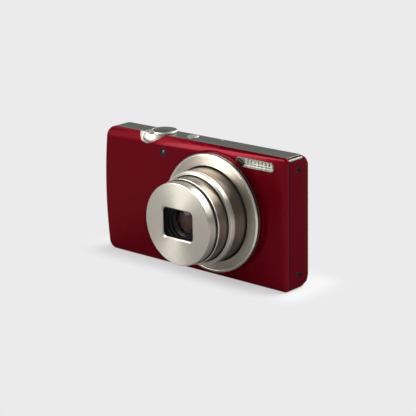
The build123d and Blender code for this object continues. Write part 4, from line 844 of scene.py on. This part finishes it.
def creaseCutter(c):
    # what lies between the crease and the arc that replaces it
    (leftX, leftZ), (rightX, rightZ) = c["left"], c["right"]
    rise = (rightZ - leftZ) / (rightX - leftX)
    startX, endX = leftX - c["spare"], rightX + c["spare"]
    startZ = leftZ - rise * c["spare"]
    slope, reach = math.radians(c["slope"]), c["reach"]
    radius = reach / math.tan(slope / 2)
    turns = [slope * i / c["steps"] for i in range(c["steps"] + 1)]
    arc = [(radius * (1 - math.cos(turn)), radius * math.sin(turn) - reach) for turn in turns]
    outline = arc + [(arc[-1][0] - math.cos(slope), arc[-1][1] + math.sin(slope)), (-1.0, -reach)]
    return pushOutline([spot(startX, depth, startZ + height) for depth, height in outline],
                       spot(endX, 0, rise * (endX - startX)) - spot(startX, 0, 0))


def inBand(low, high, limits):
    return lambda place, normal: low < place.y < high and abs(normal.y) < limits["bandFacing"] and (
        place.z < limits["bandBase"] or place.z > limits["bandTop"] or abs(place.x) > limits["bandEnds"])


for node, s in skinShapes.items():
    skin = copyNode(node, lambda place, normal: normal.y * s["rimFacing"] > skinLimits["rim"])
    if node == "front_cover":
        cutAway(skin, scoopBlock(scoopShape))
        cutAway(skin, creaseCutter(crease))
    pick(skin, "FACE", lambda place, normal: True)
    bpy.ops.mesh.bisect(plane_co=spot(0, s["cut"], 0), plane_no=(0, 1, 0))
    bpy.ops.object.mode_set(mode="OBJECT")
    finishPiece(skin, s["name"], "camera_body", s["finish"], [node], smooth=skinLimits["smooth"],
                weighing=s["weighing"])
    paintFaces(skin, s["bandFinish"], inBand(*s["band"], skinLimits))
finishPiece(buildScoop(scoopShape), "scoopCup", "camera_body", "scoopSilver", ["lever_scoop"],
            smooth=scoopShape["smooth"])
# the top plate's rounded end is bright metal, with a dark band painted along it where its faces point partly
# sideways and up
plateEnd = {"from": 45.5, "facing": 0.12, "darkBand": (0.45, 0.8), "upward": 0.3}


def paintPlateEnd(plate, e):
    low, high = e["darkBand"]
    paintFaces(plate, "lipGrey", lambda place, normal: place.x > e["from"] and normal.x > e["facing"])
    paintFaces(plate, "seamAndShadeDark", lambda place, normal: place.x > e["from"] and low < normal.x < high
               and normal.z > e["upward"])


paintPlateEnd(bpy.data.objects["topPlateSkin"], plateEnd)
print("body skins done")

# flash window: a rim round a dark cell, upright ribs and two bars across them
flashShape = {
    "low": (23.4, 0.02, 45.9), "high": (41.6, 0.75, 49.6), "corner": 1.3, "rim": 0.38,
    "ringBack": 0.5, "ringEdge": 0.1, "cellFront": 0.45,
    "ribs": 8, "ribsFrom": 27.3, "ribsTo": 41.1, "ribRise": 0.4, "ribShare": 0.31, "ribDepth": 0.55,
    "ribGap": 0.05, "bars": ((46.5, 47.0), (47.75, 47.87)), "barDepths": (0.06, 0.6), "barEdge": 0.06,
}


def buildFlash(f):
    low, high, rim = Vector(f["low"]), Vector(f["high"]), f["rim"]
    ring = roundedPlate(low, (high.x, f["ringBack"], high.z), f["corner"])
    cutAway(ring, roundedPlate((low.x + rim, -1, low.z + rim), (high.x - rim, 1, high.z - rim),
                               f["corner"] - rim))
    roundEdges(ring, f["ringEdge"], segments=2, angle=50)
    cell = roundedPlate((low.x, f["cellFront"], low.z), high, f["corner"])
    pieces = [giveFinish(ring, "flashRim"), giveFinish(cell, "flashCell")]
    pitch = (f["ribsTo"] - f["ribsFrom"]) / f["ribs"]
    radius = pitch * f["ribShare"]
    ribLow, ribHigh = low.z + rim + f["ribGap"], high.z - rim - f["ribGap"]
    for i in range(f["ribs"]):
        x = f["ribsFrom"] + (i + 0.5) * pitch
        rib = startPiece("cylinder", vertices=20, radius=radius * mm, depth=(ribHigh - ribLow) * mm,
                         location=spot(x, f["ribDepth"], (ribLow + ribHigh) / 2))
        reshape((1, f["ribRise"] / radius, 1), spot(x, f["ribDepth"], 0))
        pieces.append(giveFinish(rib, "flashRib"))
    front, back = f["barDepths"]
    for barLow, barHigh in f["bars"]:
        bar = roundedPlate((f["ribsFrom"], front, barLow), (f["ribsTo"], back, barHigh), 0)
        roundEdges(bar, f["barEdge"], segments=2, angle=50)
        pieces.append(giveFinish(bar, "flashRib"))
    return joinPieces(pieces)


finishPiece(buildFlash(flashShape), "flashLens", "camera_body", None, ["flash_window"])

# focus lamp: a black ring round a dark dome
lampShape = {
    "centre": (-14.2, 45.2),
    "ring": ((1.15, 0.25), (1.25, 0.02), (1.65, -0.02), (1.75, 0.1), (1.75, 0.8), (1.15, 0.8)),
    "dome": (1.2, 0.22, 0.35, 0.8),
}
lampParts = {"blackPlastic": lampShape["ring"], "lampGlass": domeOutline(*lampShape["dome"])}
lamp = [giveFinish(turnProfile(p, lampShape["centre"], steps=64), finish) for finish, p in lampParts.items()]
finishPiece(joinPieces(lamp), "focusLamp", "camera_body", None, ["af_lamp_lens"])

# shutter button, zoom lever with its tab, power button
shutterShape = {
    "profile": ((0, 50.5), (2.0, 50.5), (2.0, 52.65), (4.35, 52.65), (4.55, 52.8), (4.55, 52.98), (4.3, 53.1),
                (4.1, 53.13), (3.0, 53.22), (1.5, 53.28), (0, 53.3)),
}
shutterButton = turnProfile(shutterShape["profile"], shutterTurn["centre"], upright=True, steps=96)
finishPiece(shutterButton, "shutterDisc", "shutter_button", "buttonDark", ["shutter_button"])

leverShape = {
    "profile": ((4.7, 52.04), (5.45, 52.04), (5.52, 52.14), (5.28, 52.82), (5.12, 52.93), (4.9, 52.95),
                (4.7, 52.8)),
    "edge": 0.06,
    "tab": {"size": (4.6, 2.4, 1.05), "reach": 5.7, "middle": 52.6, "turn": 30.0, "round": 0.5},
    "paintedShade": {"top": 52.2, "facing": 0.2},
}


def buildLever(f):
    ring = turnProfile(f["profile"], shutterTurn["centre"], upright=True, steps=90)
    roundEdges(ring, f["edge"], segments=2, angle=35)
    t = f["tab"]
    tab = startPiece("cube", size=1)
    reshape(Vector(t["size"]) * mm, shift=(0, -t["reach"] * mm, 0))
    editAll()
    bpy.ops.transform.rotate(value=math.radians(t["turn"]), orient_axis="Z", center_override=(0, 0, 0))
    bpy.ops.transform.translate(value=Vector((*shutterTurn["centre"], t["middle"])) * mm)
    bpy.ops.object.mode_set(mode="OBJECT")
    roundEdges(tab, t["round"], segments=4, angle=30)
    return joinPieces([ring, tab])


lever = buildLever(leverShape)
finishPiece(lever, "zoomLeverRing", "zoom_lever", "satinSilver", ["zoom_lever"])
# the lever ring's underside is painted dark: painted shade for the shadow the ring casts on the scoop below
# it
paintFaces(lever, "seamAndShadeDark", lambda place, normal: place.z < leverShape["paintedShade"]["top"]
           and normal.z < leverShape["paintedShade"]["facing"])

powerShape = {
    "profile": ((0, 51.0), (2.5, 51.0), (2.5, 52.0), (2.47, 52.07), (2.05, 52.32), (1.95, 52.35), (0, 52.35)),
    "centre": (-4.0, bodyFront + 6.5),
}
powerButton = turnProfile(powerShape["profile"], powerShape["centre"], upright=True, steps=72)
finishPiece(powerButton, "powerDisc", "power_button", "satinSilver", ["power_button"])
print("top controls done")

# back: turned keys with dished faces, the rocking ring, thumb pad and screen
# a key's rim goes by steps inward from its radius and forward from its back, to the dish inside it
keyFace = {
    "rim": ((0, 0.2), (0.06, 0.08), (0.2, 0), (0.42, 0), (0.55, 0.07)), "halfway": 0.2, "middle": 0.23,
}


def keyOutline(radius, foot=15.7, flange=0.5, flangeBack=16.2, back=17.5):
    stem = ((0, foot), (radius + flange, foot), (radius + flange, flangeBack), (radius, flangeBack))
    rim = tuple((radius - inward, back - forward) for inward, forward in keyFace["rim"])
    return stem + rim + ((radius / 2, back - keyFace["halfway"]), (0, back - keyFace["middle"]))


keyShapes = {
    "playbackKey": {"node": "playback_button", "centre": (-22.6, 31), "outline": keyOutline(2.0)},
    "autoKey": {"node": "auto_button", "centre": (-38, 31), "outline": keyOutline(2.0)},
    "menuKey": {"node": "menu_button", "centre": (-38, 9), "outline": keyOutline(2.0)},
    "movieKey": {"node": "movie_button", "centre": (-21.6, 40.4), "outline": keyOutline(2.6),
                 "slot": "movie_key", "dotFront": 17.2, "dotRadius": 1.35},
    "controlRing": {
        "node": "control_ring", "centre": (-30.4, 20),
        "outline": ((3.35, 15.5), (7.2, 15.5), (7.2, 17.3), (7.05, 17.45), (6.85, 17.5), (6.5, 17.5),
                    (6.2, 17.42), (5.2, 17.33), (4.2, 17.38), (3.9, 17.46), (3.6, 17.46), (3.35, 17.3)),
    },
    "setKey": {"node": "set_button", "centre": (-30.4, 20), "outline": keyOutline(3.2, 15.2, 0.0)},
}
for name, k in keyShapes.items():
    key = turnProfile(k["outline"], k["centre"], steps=96)
    finishPiece(key, name, k["node"], "keyGrey", [k["node"]])
    if "dotRadius" in k:
        middleX, middleZ = k["centre"]
        paintFaces(key, "redDot", lambda place, normal: place.y > k["dotFront"]
                   and math.hypot(place.x - middleX, place.z - middleZ) < k["dotRadius"])

thumbShape = {
    "low": (-41.0, 16.8, 37.1), "high": (-29.0, 17.3, 44.1), "corner": 2.6, "edge": 0.15, "dot": 0.55,
    "rise": 0.24, "firstDot": (-39.0, 38.8), "columns": 5, "rows": 3, "pitch": (2.0, 1.8),
}


def buildThumbPad(t):
    pad = roundedPlate(t["low"], t["high"], t["corner"])
    roundEdges(pad, t["edge"], segments=3, angle=50)
    dots = [pad]
    (firstX, firstZ), (stepX, stepZ) = t["firstDot"], t["pitch"]
    for column in range(t["columns"]):
        for row in range(t["rows"]):
            place = spot(firstX + stepX * column, t["high"][1], firstZ + stepZ * row)
            dots.append(startPiece("uv_sphere", segments=16, ring_count=8, radius=t["dot"] * mm,
                                   location=place))
            reshape((1, t["rise"] / t["dot"], 1), place)
    return joinPieces(dots)


finishPiece(buildThumbPad(thumbShape), "thumbPad", "camera_body", "thumbRubber", ["thumb_rest"])

screenShape = {
    "low": (-15.5, 16.3, 4.0), "high": (41.5, 17.14, 46.4), "corner": 1.0, "edge": 0.12, "border": (3.2, 3.4),
    "displayDepths": (17.0, 17.16), "displayCorner": 0.4,
}


def buildScreen(f):
    low, high = Vector(f["low"]), Vector(f["high"])
    window = roundedPlate(low, high, f["corner"])
    roundEdges(window, f["edge"], segments=3, angle=50)
    (side, end), (front, back) = f["border"], f["displayDepths"]
    display = roundedPlate((low.x + side, front, low.z + end), (high.x - side, back, high.z - end),
                           f["displayCorner"])
    return joinPieces([giveFinish(window, "screenGlass"), giveFinish(display, "displayDark")])


finishPiece(buildScreen(screenShape), "screenWindow", "camera_body", None, ["screen_window"])

# base, ends and bay: the CAD shapes with softened edges
softened = {
    "endFlap": {"node": "terminal_cover", "body": "terminal_cover", "finish": "blackPlastic",
                "slot": "flap_dark", "round": 0.12},
    "batteryLid": {"node": "battery_door", "body": "battery_door", "finish": "rearRed", "slot": "rear_red",
                   "round": 0.10},
    "batteryBlock": {"node": "battery", "finish": "batteryCase", "slot": "battery_case", "round": 0.4},
    "cardBlock": {"node": "memory_card", "finish": "cardBlue", "slot": "card_blue", "round": 0.12},
    "strapPost": {"node": "strap_bar", "finish": "steel", "slot": "steel", "round": 0.1},
}
for name, s in softened.items():
    piece = copyNode(s["node"])
    roundEdges(piece, s["round"], segments=3, angle=35)
    finishPiece(piece, name, s.get("body", "camera_body"), s["finish"], [s["node"]])

# screws: softened heads with a cross recess, each placed by the two coordinates along its face
screwHeads = {
    "sideScrews": {"node": "side_screws", "way": "+x", "centres": ((7.4, 5.9), (7.4, 46.6))},
    "bottomScrews": {"node": "bottom_screws", "way": "-z", "centres": ((8, 5), (43, 5))},
}
screwEdge = 0.12


def cutCross(piece, centre, way, arm=0.85, half=0.17, deep=0.5):
    for long, short in ((arm, half), (half, arm)):
        if way == "+x":
            low, high = (-deep, -long, -short), (1, long, short)
        else:
            low, high = (-long, -short, -1), (long, short, deep)
        cutAway(piece, roundedPlate(Vector(centre) + Vector(low), Vector(centre) + Vector(high), 0))


for name, s in screwHeads.items():
    screws = copyNode(s["node"])
    lows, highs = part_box(s["node"])
    roundEdges(screws, screwEdge, segments=2, angle=40)
    for centre in s["centres"]:
        head = (highs.x / mm, *centre) if s["way"] == "+x" else (*centre, lows.z / mm)
        cutCross(screws, head, s["way"])
    finishPiece(screws, name, "camera_body", "screwBlack", [s["node"]])

# microphone: a bright eyelet round a dark hole, as high as the CAD piece
micLow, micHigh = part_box("microphone")
micShape = {"outer": 0.6, "outerBevel": (0.08, 0.05), "hole": 0.3, "holeBevel": 0.06}


def eyeletOutline(f, foot, top):
    outer, hole, soft = f["outer"], f["hole"], f["holeBevel"]
    inward, down = f["outerBevel"]
    return ((hole, foot), (outer, foot), (outer, top - down), (outer - inward, top), (hole + soft, top),
            (hole, top - soft))


micCentre = ((micLow.x + micHigh.x) / 2 / mm, (micLow.y + micHigh.y) / 2 / mm)
micRim = turnProfile(eyeletOutline(micShape, micLow.z / mm, micHigh.z / mm), micCentre, upright=True,
                     steps=40)
finishPiece(micRim, "microphoneRim", "camera_body", "brightTrim", ["microphone"])
print("back, base and ends done")
